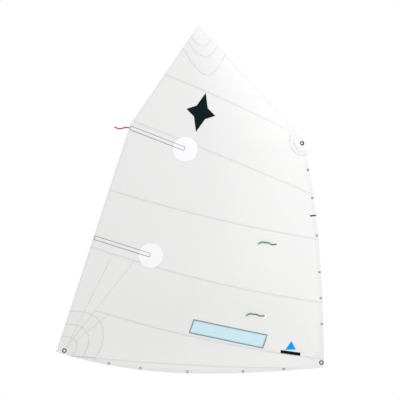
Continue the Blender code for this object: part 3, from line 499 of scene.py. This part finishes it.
softNodes = {
    # node: (finish, slot, direction of the threads in degrees)
    "head_panel": ("sail", "sailcloth", -24.5),
    "shoulder_panel": ("sail", "sailcloth", -22.5),
    "upper_panel": ("sail", "sailcloth", -13.5),
    "middle_panel": ("sail", "sailcloth", -13.5),
    "window_panel": ("sail", "sailcloth", -12.5),
    "foot_panel": ("sail", "sailcloth", -3),
    "foot_shelf": ("sail", "sailcloth", -3),
    "leech_gore": ("sail", "sailcloth", 62),
    "middle_gore": ("sail", "sailcloth", 55),
    "inner_gore": ("sail", "sailcloth", 37),
    "peak_patch_1": ("patch", "patch_cloth", -98),
    "peak_patch_2": ("patch", "patch_cloth", -98),
    "peak_patch_3": ("patch", "patch_cloth", -98),
    "throat_patch_1": ("patch", "patch_cloth", -150),
    "throat_patch_2": ("patch", "patch_cloth", -150),
    "clew_patch_1": ("patch", "patch_cloth", 35),
    "clew_patch_2": ("patch", "patch_cloth", 35),
    "clew_patch_3": ("patch", "patch_cloth", 35),
    "tack_patch": ("patch", "patch_cloth", 130),
    "luff_tape": ("tape", "tape_cloth", 95),
    "head_tape": ("tape", "tape_cloth", 133),
    "leech_tape": ("tape", "tape_cloth", 72),
    "foot_tape": ("tape", "tape_cloth", -3),
    "upper_batten_pocket": ("pocket", "pocket_cloth", -21.5),
    "lower_batten_pocket": ("pocket", "pocket_cloth", -17.1),
    "upper_batten_disc": ("disc", "disc_cloth", -21.5),
    "lower_batten_disc": ("disc", "disc_cloth", -17.1),
    "window_film": ("film", "window_film", -12.5),
    "window_border": ("border", "window_border", -12.5),
    "star_mark_starboard": ("darkMark", "mark_dark", -14),
    "star_mark_port": ("darkMark", "mark_dark", -14),
    "luff_mark_starboard": ("darkMark", "mark_dark", 5),
    "luff_mark_port": ("darkMark", "mark_dark", 5),
    "badge_hull": ("blackMark", "mark_black", -7),
    "badge_sail": ("blueMark", "mark_blue", -7),
}
narrowStrips = {"luff_tape": 0.030, "head_tape": 0.022, "leech_tape": 0.014, "foot_tape": 0.028}
flats = {node: pressFlat(node) for node in softNodes}
outlines = {node: loopsOf(bm) for node, bm in flats.items()}


def heightTree(nodes, toPort):
    points, faces = [], []
    for node in nodes:
        start = len(points)
        flats[node].verts.index_update()
        triangles = flats[node].calc_loop_triangles()
        face = Vector((0, clothSheet["thick"] if toPort else 0, 0))
        points += [v.co + face for v in flats[node].verts]
        faces += [[loop.vert.index + start for loop in triangle] for triangle in triangles]
    return BVHTree.FromPolygons(points, faces)


panelNodes = [node for node in softNodes if softNodes[node][0] == "sail"]
tapeNodes = list(narrowStrips)
portOnly = (*tapeNodes, "tack_patch", "star_mark_port", "luff_mark_port")
starboardNodes = [node for node in softNodes if node not in portOnly]
panelsPort = heightTree(panelNodes, True)
allPort = heightTree([*panelNodes, *tapeNodes, "tack_patch"], True)
allStarboard = heightTree(starboardNodes, False)
ownStarboard = {node: heightTree([node], False) for node in softNodes}


def heightAt(tree, x, z, toPort):
    way = 1 if toPort else -1
    hit = tree.ray_cast(Vector((x, clothSheet["probeFrom"] * way, z)), Vector((0, -way, 0)))
    return None if hit[0] is None else hit[0].y


def spreadCloth(node):
    finish, slot, grain = softNodes[node]
    bm = flats[node].copy()
    cell = clothSheet["cell"]
    for normal in (Vector((1, 0, 0)), Vector((0, 0, 1))):
        reach = [v.co.dot(normal) for v in bm.verts]
        for line in range(math.ceil(min(reach) / cell), math.floor(max(reach) / cell) + 1):
            geometry = bm.verts[:] + bm.edges[:] + bm.faces[:]
            place = normal * line * cell
            bmesh.ops.bisect_plane(bm, geom=geometry, dist=1e-6, plane_co=place, plane_no=normal)
    flatArea = sum(f.calc_area() for f in bm.faces)
    turn = math.radians(grain)
    run, rise = along(turn), along(turn + math.pi / 2)
    corners = [Vector((v.co.x, v.co.z)) for v in bm.verts]
    spanRun = max(c.dot(run) for c in corners) - min(c.dot(run) for c in corners)
    spanRise = max(c.dot(rise) for c in corners) - min(c.dot(rise) for c in corners)
    grown = bmesh.ops.extrude_face_region(bm, geom=bm.faces[:])
    port = {v for v in grown["geom"] if isinstance(v, bmesh.types.BMVert)}
    for vert in bm.verts:
        height = vert.co.y + (clothSheet["thick"] if vert in port else 0)
        vert.co = lay(vert.co.x, height, vert.co.z)
    bmesh.ops.recalc_face_normals(bm, faces=bm.faces)
    threads = bm.loops.layers.uv.new("cloth")
    for face in bm.faces:
        face.smooth = True
        for loop in face.loops:
            place = Vector((loop.vert.co.x, loop.vert.co.z))
            loop[threads].uv = (place.dot(run), place.dot(rise))
    for edge in bm.edges:
        edge.smooth = len(edge.link_faces) == 2 and edge.calc_face_angle() < smoothWithin
    piece = startPiece(node + "_cloth", bm, finish)
    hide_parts(node)
    if node in narrowStrips:
        cuts[node] = {"flat": (narrowStrips[node], flatArea / narrowStrips[node])}
    else:
        width = max(spanRise, flatArea / spanRun)  # a pocket's hump takes up some more width
        cuts[node] = {"flat": (width, spanRun), "area": flatArea}
    return piece


cuts = {}  # the flat cut of each sheet
trims = {node: [] for node in softNodes}  # what is sewn or set on each sheet
clothPieces = {node: spreadCloth(node) for node in softNodes}
print("cloth laid:", len(clothPieces))

# Sewing

stitch = {
    "thick": 0.00065,
    "proud": 0.00010,
    "half": 0.00014,
    "sampling": 0.002,
    "nearest": 0.8,  # a row keeps this share of its inset from every part of the edge
    "underEdge": 0.004,  # how far beyond the edge there must be other cloth to sew it to
    "sharpestMitre": 0.35,
}


def inwardSide(points):
    return 1 if sum(a.x * b.y - b.x * a.y for a, b in zip(points, points[1:] + points[:1])) > 0 else -1


def insetLoop(points, distance):
    side = inwardSide(points)
    moved = []
    for before, here, after in zip(points[-1:] + points[:-1], points, points[1:] + points[:1]):
        first, second = (here - before).normalized(), (after - here).normalized()
        inA, inB = Vector((-first.y, first.x)) * side, Vector((-second.y, second.x)) * side
        moved.append(here + (inA + inB) / max(1 + inA.dot(inB), stitch["sharpestMitre"]) * distance)
    return moved


def evenly(points, step):
    total = lengthOf(points)
    count = max(int(total / step), 1)
    found, at, i = [], 0.0, 0
    for k in range(count + 1):
        target = total * k / count
        while i < len(points) - 2 and at + (points[i + 1] - points[i]).length < target:
            at += (points[i + 1] - points[i]).length
            i += 1
        span = (points[i + 1] - points[i]).length
        share = min((target - at) / span, 1) if span > 1e-9 else 0
        found.append((points[i].lerp(points[i + 1], share), (points[i + 1] - points[i]).normalized()))
    return found


def nearTree(loops):
    samples = [p for loop in loops for p, _ in evenly(loop + loop[:1], stitch["sampling"])]
    tree = KDTree(len(samples))
    for i, p in enumerate(samples):
        tree.insert((p.x, p.y, 0), i)
    tree.balance()
    return tree


def stitchRuns(loop, row, edgeTree, inward, over):
    runs, run = [], []
    for k, (place, way) in enumerate(evenly(loop + loop[:1], row["advance"])):
        across = Vector((-way.y, way.x))
        kept = edgeTree.find((place.x, place.y, 0))[2] > stitch["nearest"] * row["inset"]
        if over is not None:  # sewn only where the edge lies on other cloth
            beyond = place - across * inward * (row["inset"] + stitch["underEdge"])
            kept = kept and heightAt(over, beyond.x, beyond.y, True) is not None
        if not kept:
            runs.append(run)
            run = []
            continue
        corner = place + across * (row["width"] / 2 if k % 2 else -row["width"] / 2)
        if run:  # a wide stitch bends over what it crosses
            between = row.get("between", 0)
            run += [run[-1].lerp(corner, step / (between + 1)) for step in range(1, between + 1)]
        run.append(corner)
    return [r for r in [*runs, run] if len(r) > 2]


def threadThrough(bm, points):
    rings = []
    for i, here in enumerate(points):
        way = (points[min(i + 1, len(points) - 1)] - points[max(i - 1, 0)]).normalized()
        side = Vector((way.z, 0, -way.x)).normalized() * stitch["thick"] / 2
        up = Vector((0, stitch["half"], 0))
        rings.append([bm.verts.new(here + offset) for offset in (side, up, -side, -up)])
    for near, far in zip(rings, rings[1:]):
        for k in range(4):
            bm.faces.new((near[k], near[(k + 1) % 4], far[(k + 1) % 4], far[k]))
    bm.faces.new(rings[0][::-1])
    bm.faces.new(rings[-1])


def sewPath(bm, run, tree, toPort):
    lift = stitch["proud"] * (1 if toPort else -1)
    stretches = [[]]
    for place in run:
        height = heightAt(tree, place.x, place.y, toPort)
        if height is None:
            stretches.append([])
        else:
            stretches[-1].append(lay(place.x, height + lift, place.y))
    for stretch in stretches:
        if len(stretch) > 2:
            threadThrough(bm, stretch)


def sew(node, rows, starboardTree=None, portTree=None, over=None):
    outer = max(outlines[node], key=lengthOf)
    edgeTree = nearTree([outer])
    for finish in dict.fromkeys(row["thread"] for row in rows):
        bm = bmesh.new()
        for row in rows:
            if row["thread"] != finish:
                continue
            line = insetLoop(outer, row["inset"])
            for run in stitchRuns(line, row, edgeTree, inwardSide(outer), over):
                if starboardTree is not None:
                    sewPath(bm, run, starboardTree, False)
                if portTree is not None:
                    sewPath(bm, run, portTree, True)
        bmesh.ops.recalc_face_normals(bm, faces=bm.faces)
        trims[node].append(startPiece(f"{node}_{finish}", bm, finish))


# a dark and a white row of zigzag hold each lap; real thread is 0.4 mm thick, drawn thicker to show
seamRows = [
    {"inset": 0.0022, "width": 0.0030, "advance": 0.0017, "thread": "greyThread"},
    {"inset": 0.0100, "width": 0.0040, "advance": 0.0026, "thread": "whiteThread"},
]
patchRows = [{"inset": 0.0022, "width": 0.0030, "advance": 0.0014, "thread": "greyThread"}]
cornerRows = [{"inset": 0.0024, "width": 0.0034, "advance": 0.0011, "thread": "darkThread"}]
tapeRows = [{"inset": 0.0030, "width": 0.0035, "advance": 0.0028, "thread": "whiteThread"}]
discRows = [{"inset": 0.0030, "width": 0.0030, "advance": 0.0022, "thread": "whiteThread"}]
pocketRows = [{"inset": 0.0014, "width": 0.0044, "advance": 0.0007, "thread": "darkThread", "between": 4}]
borderRows = [{"inset": 0.0035, "width": 0.0036, "advance": 0.0010, "thread": "blueGreyThread"}]
sewnOver = {  # which cloth each edge is sewn down to
    "head_panel": ["shoulder_panel"],
    "upper_panel": ["shoulder_panel", "middle_panel"],
    "window_panel": ["middle_panel", "foot_panel", "inner_gore"],
    "leech_gore": ["middle_panel"],
    "middle_gore": ["leech_gore", "middle_panel", "window_panel", "inner_gore"],
    "inner_gore": ["foot_panel"],
    "foot_shelf": ["foot_panel"],
}

for node, under in sewnOver.items():
    below = heightTree(under, True)
    top = allStarboard if node.endswith("_gore") else ownStarboard[node]
    sew(node, seamRows, starboardTree=top, portTree=panelsPort, over=below)
for node in softNodes:
    if node.startswith(("peak_patch", "throat_patch", "clew_patch")):
        rows = patchRows if node.startswith("peak") else cornerRows
        sew(node, rows, starboardTree=ownStarboard[node], portTree=panelsPort, over=panelsPort)
    elif node in tapeNodes or node == "tack_patch":
        sew(node, tapeRows, starboardTree=allStarboard, portTree=allPort)
    elif node.endswith("_pocket"):
        disc = node.replace("_pocket", "_disc")
        sew(node, pocketRows, starboardTree=heightTree([node, disc, *panelNodes], False))
    elif node.endswith("_disc"):
        sew(node, discRows, starboardTree=ownStarboard[node])
sew("window_border", borderRows, starboardTree=ownStarboard["window_border"])
print("sewing done")

# Eyelets: stamped brass, a domed flange on each side with a rolled inner lip

eyelets = {
    "edge": {"bore": 0.0042, "flange": 0.0085, "wall": 0.0007, "dome": 0.0012, "steps": 32},
    "corner": {"bore": 0.0085, "flange": 0.0170, "wall": 0.0009, "dome": 0.0019, "steps": 48},
    "clearance": 0.0001,
    "arcSteps": 8,
    "lean": 0.25,  # the dome is steeper towards the bore
    "fullness": 0.75,
    "base": 0.00002,
    "lipSpan": 3,  # the rolled lip's width and rise, in walls
    "lipRise": 1.2,
    "washerGap": 0.0003,
    "washerFoot": 0.0002,
    "washerDome": 0.0008,
    "washerTop": 0.0012,
    "probes": 12,
    "probeAt": 0.85,
}


def domeProfile(inner, outer, dome):  # radius and height over the cloth, from the outer rim inwards
    middle, half = (outer + inner) / 2, (outer - inner) / 2
    points = []
    for step in range(eyelets["arcSteps"] + 1):
        angle = math.pi * step / eyelets["arcSteps"]
        lean = 1 + eyelets["lean"] * math.cos(angle)
        rise = dome * math.sin(angle) ** eyelets["fullness"] / lean
        points.append((middle + half * math.cos(angle), rise))
    return points


def eyeletProfile(look):
    dome = domeProfile(look["bore"], look["flange"], look["dome"])
    base = eyelets["base"]
    barrel = look["bore"] + look["wall"]
    starboard = [(radius, -base - height) for radius, height in dome]
    port = [(radius, base + height) for radius, height in reversed(dome)]
    return [*starboard, *port, (barrel, base), (barrel, -base)]


def lipProfile(look):  # the barrel from starboard, with a small rolled lip over the washer on port
    lipOuter = look["bore"] + eyelets["lipSpan"] * look["wall"]
    lip = domeProfile(look["bore"], lipOuter, eyelets["lipRise"] * look["wall"])
    base, washer = eyelets["base"], eyelets["washerTop"]
    starboard = [(r, -base - h) for r, h in domeProfile(look["bore"], look["flange"], look["dome"])]
    port = [(r, washer + h) for r, h in reversed(lip)]
    barrel = look["bore"] + look["wall"]
    return [*starboard, *port, (barrel, washer), (barrel, -base)]


def washerProfile(look):
    inner, base = look["bore"] + look["wall"] + eyelets["washerGap"], eyelets["base"]
    dome = domeProfile(inner, look["flange"], eyelets["washerDome"])
    return [*[(r, eyelets["washerFoot"] + h) for r, h in dome], (inner, base), (look["flange"], base)]


def turnRing(name, profile, steps):
    bpy.ops.object.select_all(action="DESELECT")
    radius, height = profile[0]
    bpy.ops.mesh.primitive_circle_add(vertices=steps, radius=radius, location=(0, 0, 0))
    ring = bpy.context.object
    ring.name = name
    bpy.ops.object.mode_set(mode="EDIT")
    bpy.ops.mesh.select_all(action="SELECT")
    bpy.ops.transform.translate(value=(0, 0, height))
    for nextRadius, nextHeight in profile[1:]:
        bpy.ops.mesh.extrude_region_move(TRANSFORM_OT_translate={"value": (0, 0, nextHeight - height)})
        share = nextRadius / radius
        bpy.ops.transform.resize(value=(share, share, 1), center_override=(0, 0, nextHeight))
        radius, height = nextRadius, nextHeight
    bpy.ops.mesh.select_all(action="DESELECT")
    bpy.ops.mesh.select_non_manifold()
    bpy.ops.mesh.bridge_edge_loops()
    bpy.ops.mesh.select_all(action="SELECT")
    bpy.ops.mesh.normals_make_consistent(inside=False)
    bpy.ops.object.mode_set(mode="OBJECT")
    bpy.ops.object.shade_smooth_by_angle(angle=smoothWithin)
    return ring


def setEyelet(master, node, radius):
    low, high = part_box(node)
    x, z = (low.x + high.x) / 2, (low.z + high.z) / 2
    count, reach = eyelets["probes"], radius * eyelets["probeAt"]
    around = [along(2 * math.pi * i / count) * reach + Vector((x, z)) for i in range(count)]
    under = min(heightAt(allStarboard, p.x, p.y, False) for p in around) - eyelets["clearance"]
    over = max(heightAt(allPort, p.x, p.y, True) for p in around) + eyelets["clearance"]
    piece = bpy.data.objects.new(node + "_turned", master.data.copy())
    bpy.context.scene.collection.objects.link(piece)
    for vert in piece.data.vertices:
        vert.co.z += under if vert.co.z < 0 else over
    piece.data.transform(seatOn(x, z, radius) @ Matrix.Rotation(-math.pi / 2, 4, "X"))
    piece.data.materials.append(finishes["nickel"])
    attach(piece, "sail")
    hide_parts(node)


edgeEyelet = turnRing("edgeEyelet", eyeletProfile(eyelets["edge"]), eyelets["edge"]["steps"])
cornerEyelet = turnRing("cornerEyelet", lipProfile(eyelets["corner"]), eyelets["corner"]["steps"])
cornerWasher = turnRing("cornerWasher", washerProfile(eyelets["corner"]), eyelets["corner"]["steps"])
for node in sorted(frame["nodes"]):
    if node.startswith(("luff_eyelet", "foot_eyelet")):
        setEyelet(edgeEyelet, node, eyelets["edge"]["flange"])
for corner in ("tack", "throat", "clew"):
    setEyelet(cornerEyelet, corner + "_eyelet", eyelets["corner"]["flange"])
    setEyelet(cornerWasher, corner + "_eyelet_washer", eyelets["corner"]["flange"])
for master in (edgeEyelet, cornerEyelet, cornerWasher):
    bpy.data.objects.remove(master)
print("eyelets set")

# Battens: flat pultruded strips with round ends and eased edges

batten = {
    "length": 0.428,
    "width": 0.018,
    "thick": 0.0016,
    "endRound": 0.49,  # radius of an end's corners, as a share of the width
    "endSteps": 8,
    "ease": 0.0003,
    "seatReach": 0.01,
}


def addBatten(name):
    bpy.ops.object.select_all(action="DESELECT")
    bpy.ops.mesh.primitive_cube_add(size=1, location=(0, 0, 0))
    piece = bpy.context.object
    piece.name = name + "_rod"
    bpy.ops.transform.resize(value=(batten["length"], batten["thick"], batten["width"]))
    bpy.ops.object.transform_apply(location=False, rotation=False, scale=True)
    bpy.ops.object.mode_set(mode="EDIT")
    bpy.ops.mesh.select_all(action="DESELECT")
    bm = bmesh.from_edit_mesh(piece.data)
    for edge in bm.edges:
        edge.select = abs(edge.verts[0].co.y - edge.verts[1].co.y) > batten["thick"] / 2
    bmesh.update_edit_mesh(piece.data)
    bpy.ops.mesh.bevel(offset=batten["width"] * batten["endRound"], segments=batten["endSteps"])
    bpy.ops.mesh.select_all(action="DESELECT")
    bm = bmesh.from_edit_mesh(piece.data)
    for edge in bm.edges:
        edge.select = edge.calc_face_angle(0) > math.radians(60)
    bmesh.update_edit_mesh(piece.data)
    bpy.ops.mesh.bevel(offset=batten["ease"], segments=2)
    bpy.ops.object.mode_set(mode="OBJECT")
    bpy.ops.object.shade_smooth_by_angle(angle=math.radians(40))
    slide = next(joint for joint in frame["joints"] if joint["name"] == name + "_slide")
    inboard = -Vector(slide["axis"])
    low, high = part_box(name)
    port = seatOn((low.x + high.x) / 2, (low.z + high.z) / 2, batten["seatReach"]).col[1].xyz
    port = (port - inboard * port.dot(inboard)).normalized()
    axes = Matrix((inboard, port, inboard.cross(port))).transposed().to_4x4()
    piece.data.transform(Matrix.Translation((low + high) / 2) @ axes)
    piece.data.materials.append(finishes["rod"])
    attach(piece, name + "_rod")
    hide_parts(name)


for name in ("upper_batten", "lower_batten"):
    addBatten(name)
print("battens in")

# Telltales and the leech ribbon: light ripstop strips that stream aft from a round sticker

ribbons = {
    "length": 0.145,
    "width": 0.010,
    "thick": 0.0003,
    "lift": 0.021,
    "liftArc": 0.9,  # in half turns
    "liftSkew": 1.8,
    "ripple": 0.004,
    "standoff": 0.003,
    "root": 0.0011,
    "portCurl": 0.6,
    "rippleEvery": 0.36,
    "easeOver": 0.02,
    "cup": 0.0008,
    "steps": 72,
    "leechLength": 0.118,
    "leechWave": 0.007,
    "leechTurns": 1.2,
    "sticker": 0.010,
    "stickerThick": 0.0003,
    "stickerGap": 0.00005,
}


def telltaleSway(share):
    ripple = ribbons["ripple"] * (1 - share) * math.sin(2 * math.pi * share / ribbons["rippleEvery"])
    arc = math.pi * ribbons["liftArc"] * share ** ribbons["liftSkew"]
    return ribbons["lift"] * math.sin(arc) + ripple


def leechSway(share):
    return ribbons["leechWave"] * math.sqrt(share) * math.sin(2 * math.pi * ribbons["leechTurns"] * share)


def swingOf(name):
    joint = next(joint for joint in frame["joints"] if joint["name"] == name)
    port = Vector(joint["axis"])
    ahead = Vector((1, 0, 0))
    ahead = (ahead - port * ahead.dot(port)).normalized()
    axes = Matrix((ahead, port, ahead.cross(port))).transposed().to_4x4()
    return Matrix.Translation(joint["pos_m"]) @ axes


def addRibbon(node, joint, body, finish, side, sway, length, curl=0.0, root=None):
    bm = bmesh.new()
    grain = bm.loops.layers.uv.new("cloth")
    rows, half = [], ribbons["width"] / 2
    for i in range(ribbons["steps"] + 1):
        share = i / ribbons["steps"]
        u = length * share
        ease = min(u / ribbons["easeOver"], 1.0)
        ease = ease * ease * (3 - 2 * ease)
        start = ribbons["standoff"] if root is None else root
        off = side * (start + (ribbons["standoff"] - start) * ease + curl * u * u / 2)
        cup = ribbons["cup"] * math.sin(5 * math.pi * share) * share  # a slight curl across the strip
        middle = sway(share)
        row = []
        for v in (-1, -0.5, 0, 0.5, 1):
            row.append((-u, off + side * cup * (1 - v * v), middle + v * half))
        rows.append([bm.verts.new(place) for place in row])
    for near, far in zip(rows, rows[1:]):
        for k in range(4):
            bm.faces.new((near[k], near[k + 1], far[k + 1], far[k]))
    for face in bm.faces:
        for loop in face.loops:
            loop[grain].uv = (loop.vert.co.x, loop.vert.co.z)
    piece = startPiece(node + "_strip", bm, finish, body)
    skin = piece.modifiers.new("skin", "SOLIDIFY")
    skin.thickness = ribbons["thick"]
    skin.offset = 0
    bpy.context.view_layer.objects.active = piece
    bpy.ops.object.modifier_apply(modifier="skin")
    piece.data.shade_smooth()
    piece.data.set_sharp_from_angle(angle=smoothWithin)
    piece.data.transform(swingOf(joint))
    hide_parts(node)


def addSticker(node, joint, side):
    place = swingOf(joint).translation
    tree = allPort if side > 0 else allStarboard
    bm = bmesh.new()
    bmesh.ops.create_circle(bm, cap_ends=True, cap_tris=True, segments=32, radius=ribbons["sticker"])
    grain = bm.loops.layers.uv.new("cloth")
    grown = bmesh.ops.extrude_face_region(bm, geom=bm.faces[:])
    outer = {v for v in grown["geom"] if isinstance(v, bmesh.types.BMVert)}
    for face in bm.faces:
        for loop in face.loops:
            loop[grain].uv = (loop.vert.co.x, loop.vert.co.y)
    for vert in bm.verts:
        x, z = place.x + vert.co.x, place.z + vert.co.y
        off = ribbons["stickerGap"] + (ribbons["stickerThick"] if vert in outer else 0)
        vert.co = lay(x, heightAt(tree, x, z, side > 0) + side * off, z)
    bmesh.ops.recalc_face_normals(bm, faces=bm.faces)
    piece = startPiece(node + "_sticker", bm, "disc")


for height in ("upper", "lower"):
    for side, way, finish, curl in (("starboard", -1, "green", 0), ("port", 1, "red", ribbons["portCurl"])):
        node = f"{height}_telltale_{side}"
        joint = f"{height}_{side}_telltale_swing"
        body = f"{height}_{side}_telltale"
        length, root = ribbons["length"], ribbons["root"]
        addRibbon(node, joint, body, finish, way, telltaleSway, length, curl, root)
        addSticker(node, joint, way)
length = ribbons["leechLength"]
addRibbon("leech_ribbon", "leech_ribbon_swing", "leech_streamer", "red", 1, leechSway, length)
print("telltales set")

# Peak becket: a webbing strap on the port side, sewn down at both ends

becket = {
    "width": 0.020,
    "thick": 0.0015,
    "span": 0.034,
    "leg": 0.026,
    "rise": 0.014,
    "belowPeak": 0.085,
    "over": 0.0006,
    "steps": 96,
    "ribs": 6,
    "stitchEdge": 0.003,
    "stitchStep": 0.0012,
    "stitchHalf": 0.0006,
    "shoulder": 0.004,  # how far the arch takes to rise from a leg
    "ribbed": 0.9,  # share of the width between the selvedges
    "selvedge": 0.96,
    "probeAt": 0.02,
}


def becketFrame():
    down = ((throat - peak).normalized() + (bend - peak).normalized()).normalized()
    place = peak + down * becket["belowPeak"]
    heading = math.atan2(-down.x, down.y) + math.pi
    return seatOn(place.x, place.y, becket["span"] / 2 + becket["leg"] / 2, heading), place


def becketArch(u):  # height of the strap's underside over its seat
    half = becket["span"] / 2
    if abs(u) >= half:
        return 0.0
    rise = becket["rise"] * math.sqrt(1 - (u / half) ** 2)
    edge = min((half - abs(u)) / becket["shoulder"], 1.0)
    return rise * edge * edge * (3 - 2 * edge)


def boxStitch(leg):  # a rectangle with its two diagonals, on one leg of the strap
    near = leg * (becket["span"] / 2 + becket["stitchEdge"])
    far = leg * (becket["span"] / 2 + becket["leg"] - becket["stitchEdge"])
    half = becket["width"] / 2 - becket["stitchEdge"]
    border = [(near, -half), (far, -half), (far, half), (near, half)]
    corners = [*border, (near, -half), (far, half), (far, -half), (near, half)]
    path = []
    for start, end in zip(corners, corners[1:]):
        for k, (place, way) in enumerate(evenly([Vector(start), Vector(end)], becket["stitchStep"])):
            path.append(place + Vector((-way.y, way.x)) * becket["stitchHalf"] * (1 if k % 2 else -1))
    return path


def addBecket():
    seat, place = becketFrame()
    probe = becket["probeAt"]
    around = [place + Vector((a, b)) for a in (-probe, 0, probe) for b in (-probe, probe)]
    seated = max(heightAt(allPort, p.x, p.y, True) for p in around)
    reach = becket["span"] / 2 + becket["leg"]
    bm = bmesh.new()
    grain = bm.loops.layers.uv.new("cloth")
    ribs = [k / becket["ribs"] * becket["ribbed"] for k in range(-becket["ribs"], becket["ribs"] + 1)]
    across = [-1, -becket["selvedge"], *ribs, becket["selvedge"], 1]
    rows = []
    for i in range(becket["steps"] + 1):
        u = reach * (2 * i / becket["steps"] - 1)
        height = seated + becket["over"] + becketArch(u)
        rows.append([bm.verts.new((u, height, v * becket["width"] / 2)) for v in across])
    for near, far in zip(rows, rows[1:]):
        for k in range(len(across) - 1):
            bm.faces.new((near[k], near[k + 1], far[k + 1], far[k]))
    for face in bm.faces:
        for loop in face.loops:
            loop[grain].uv = (loop.vert.co.x, loop.vert.co.z)
    bmesh.ops.recalc_face_normals(bm, faces=bm.faces)
    lift = Matrix.Translation(seat.col[1].xyz * becket["thick"] / 2) @ seat
    piece = startPiece("peak_becket_strap", bm, "webbing")
    skin = piece.modifiers.new("skin", "SOLIDIFY")
    skin.thickness = becket["thick"]
    skin.offset = 0
    bpy.context.view_layer.objects.active = piece
    bpy.ops.object.modifier_apply(modifier="skin")
    piece.data.shade_smooth()
    piece.data.set_sharp_from_angle(angle=smoothWithin)
    piece.data.transform(lift)
    sewn = bmesh.new()
    top = seated + becket["over"] + becket["thick"] / 2 + stitch["proud"]
    for leg in (-1, 1):
        threadThrough(sewn, [Vector((p.x, top, p.y)) for p in boxStitch(leg)])
    bmesh.ops.recalc_face_normals(sewn, faces=sewn.faces)
    thread = startPiece("peak_becket_thread", sewn, "greyThread")
    thread.data.transform(lift)
    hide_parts("peak_becket")


addBecket()
print("becket on")

for node, cut in cuts.items():
    if node == "window_border":
        continue
    onIt = list(trims[node])
    if node == "window_film":
        onIt += [clothPieces["window_border"], *trims["window_border"]]

# Studio

studio = {
    "rollerMm": 16.67,
    "floorSize": 10,
    "floorAt": (-0.9, -1.6, -0.75),
    "lens": 135,
    "sensor": 36,
    "frameWidth": 3.0,
    "middle": (-0.9105, 1.21875),
    "keyAt": (2.5, -3.5, 4.0),
    "keyTo": (-0.8, 0.0, 1.0),
    "keySize": 3.0,
    "keyPower": 100,
    "fill": 0.86,
    "fillColour": (1, 0.996, 0.993, 1),
}


def paleFloor():
    # matt painted board: an even pale grey with a trace of the roller's nap
    material, tree, shader = startMaterial("mattPaintedBoard")
    place = addNode(tree, "ShaderNodeTexCoord")
    nap = {"Vector": place.outputs["Object"], "Scale": 1 / (studio["rollerMm"] * 0.001), "Detail": 2.0}
    roller = addNode(tree, "ShaderNodeTexNoise", nap)
    tone = addNode(
        tree,
        "ShaderNodeMix",
        {"Factor": roller.outputs["Fac"], "A": toLinear("#f4f4f3"), "B": toLinear("#efefee")},
        data_type="RGBA",
    )
    tree.links.new(tone.outputs["Result"], shader.inputs["Base Color"])
    setSockets(shader, Roughness=0.8)
    return material


def addStudio():
    bpy.ops.object.select_all(action="DESELECT")
    bpy.ops.mesh.primitive_plane_add(size=studio["floorSize"], location=studio["floorAt"])
    floor = bpy.context.object
    floor.name = "pale_floor"
    floor.data.materials.append(paleFloor())
    light = bpy.data.lights.new("keyLight", "AREA")
    light.size = studio["keySize"]
    light.energy = studio["keyPower"]
    key = bpy.data.objects.new("keyLight", light)
    key.location = studio["keyAt"]
    key.rotation_euler = (Vector(studio["keyTo"]) - key.location).to_track_quat("-Z", "Y").to_euler()
    bpy.context.scene.collection.objects.link(key)
    world = bpy.data.worlds.new("studioWorld")
    world.use_nodes = True
    bpy.context.scene.world = world
    tree = world.node_tree
    tree.nodes.clear()
    path = addNode(tree, "ShaderNodeLightPath")
    seen = addNode(tree, "ShaderNodeBackground", {"Color": (1, 1, 1, 1), "Strength": 1.0})
    soft = {"Color": studio["fillColour"], "Strength": studio["fill"]}
    lit = addNode(tree, "ShaderNodeBackground", soft)
    mixed = addNode(tree, "ShaderNodeMixShader", {"Fac": path.outputs["Is Camera Ray"]})
    tree.links.new(lit.outputs["Background"], mixed.inputs[1])
    tree.links.new(seen.outputs["Background"], mixed.inputs[2])
    out = addNode(tree, "ShaderNodeOutputWorld")
    tree.links.new(mixed.outputs["Shader"], out.inputs["Surface"])


def addCamera():
    lens = bpy.data.cameras.new("camera")
    lens.lens = studio["lens"]
    lens.sensor_width = studio["sensor"]
    camera = bpy.data.objects.new("camera", lens)
    distance = studio["frameWidth"] * studio["lens"] / studio["sensor"]
    camera.location = (studio["middle"][0], -distance, studio["middle"][1])
    camera.rotation_euler = (math.pi / 2, 0, 0)
    bpy.context.scene.collection.objects.link(camera)
    bpy.context.scene.camera = camera


addStudio()
addCamera()
bpy.context.scene.view_settings.view_transform = "Standard"
bpy.context.view_layer.update()
print("studio ready")
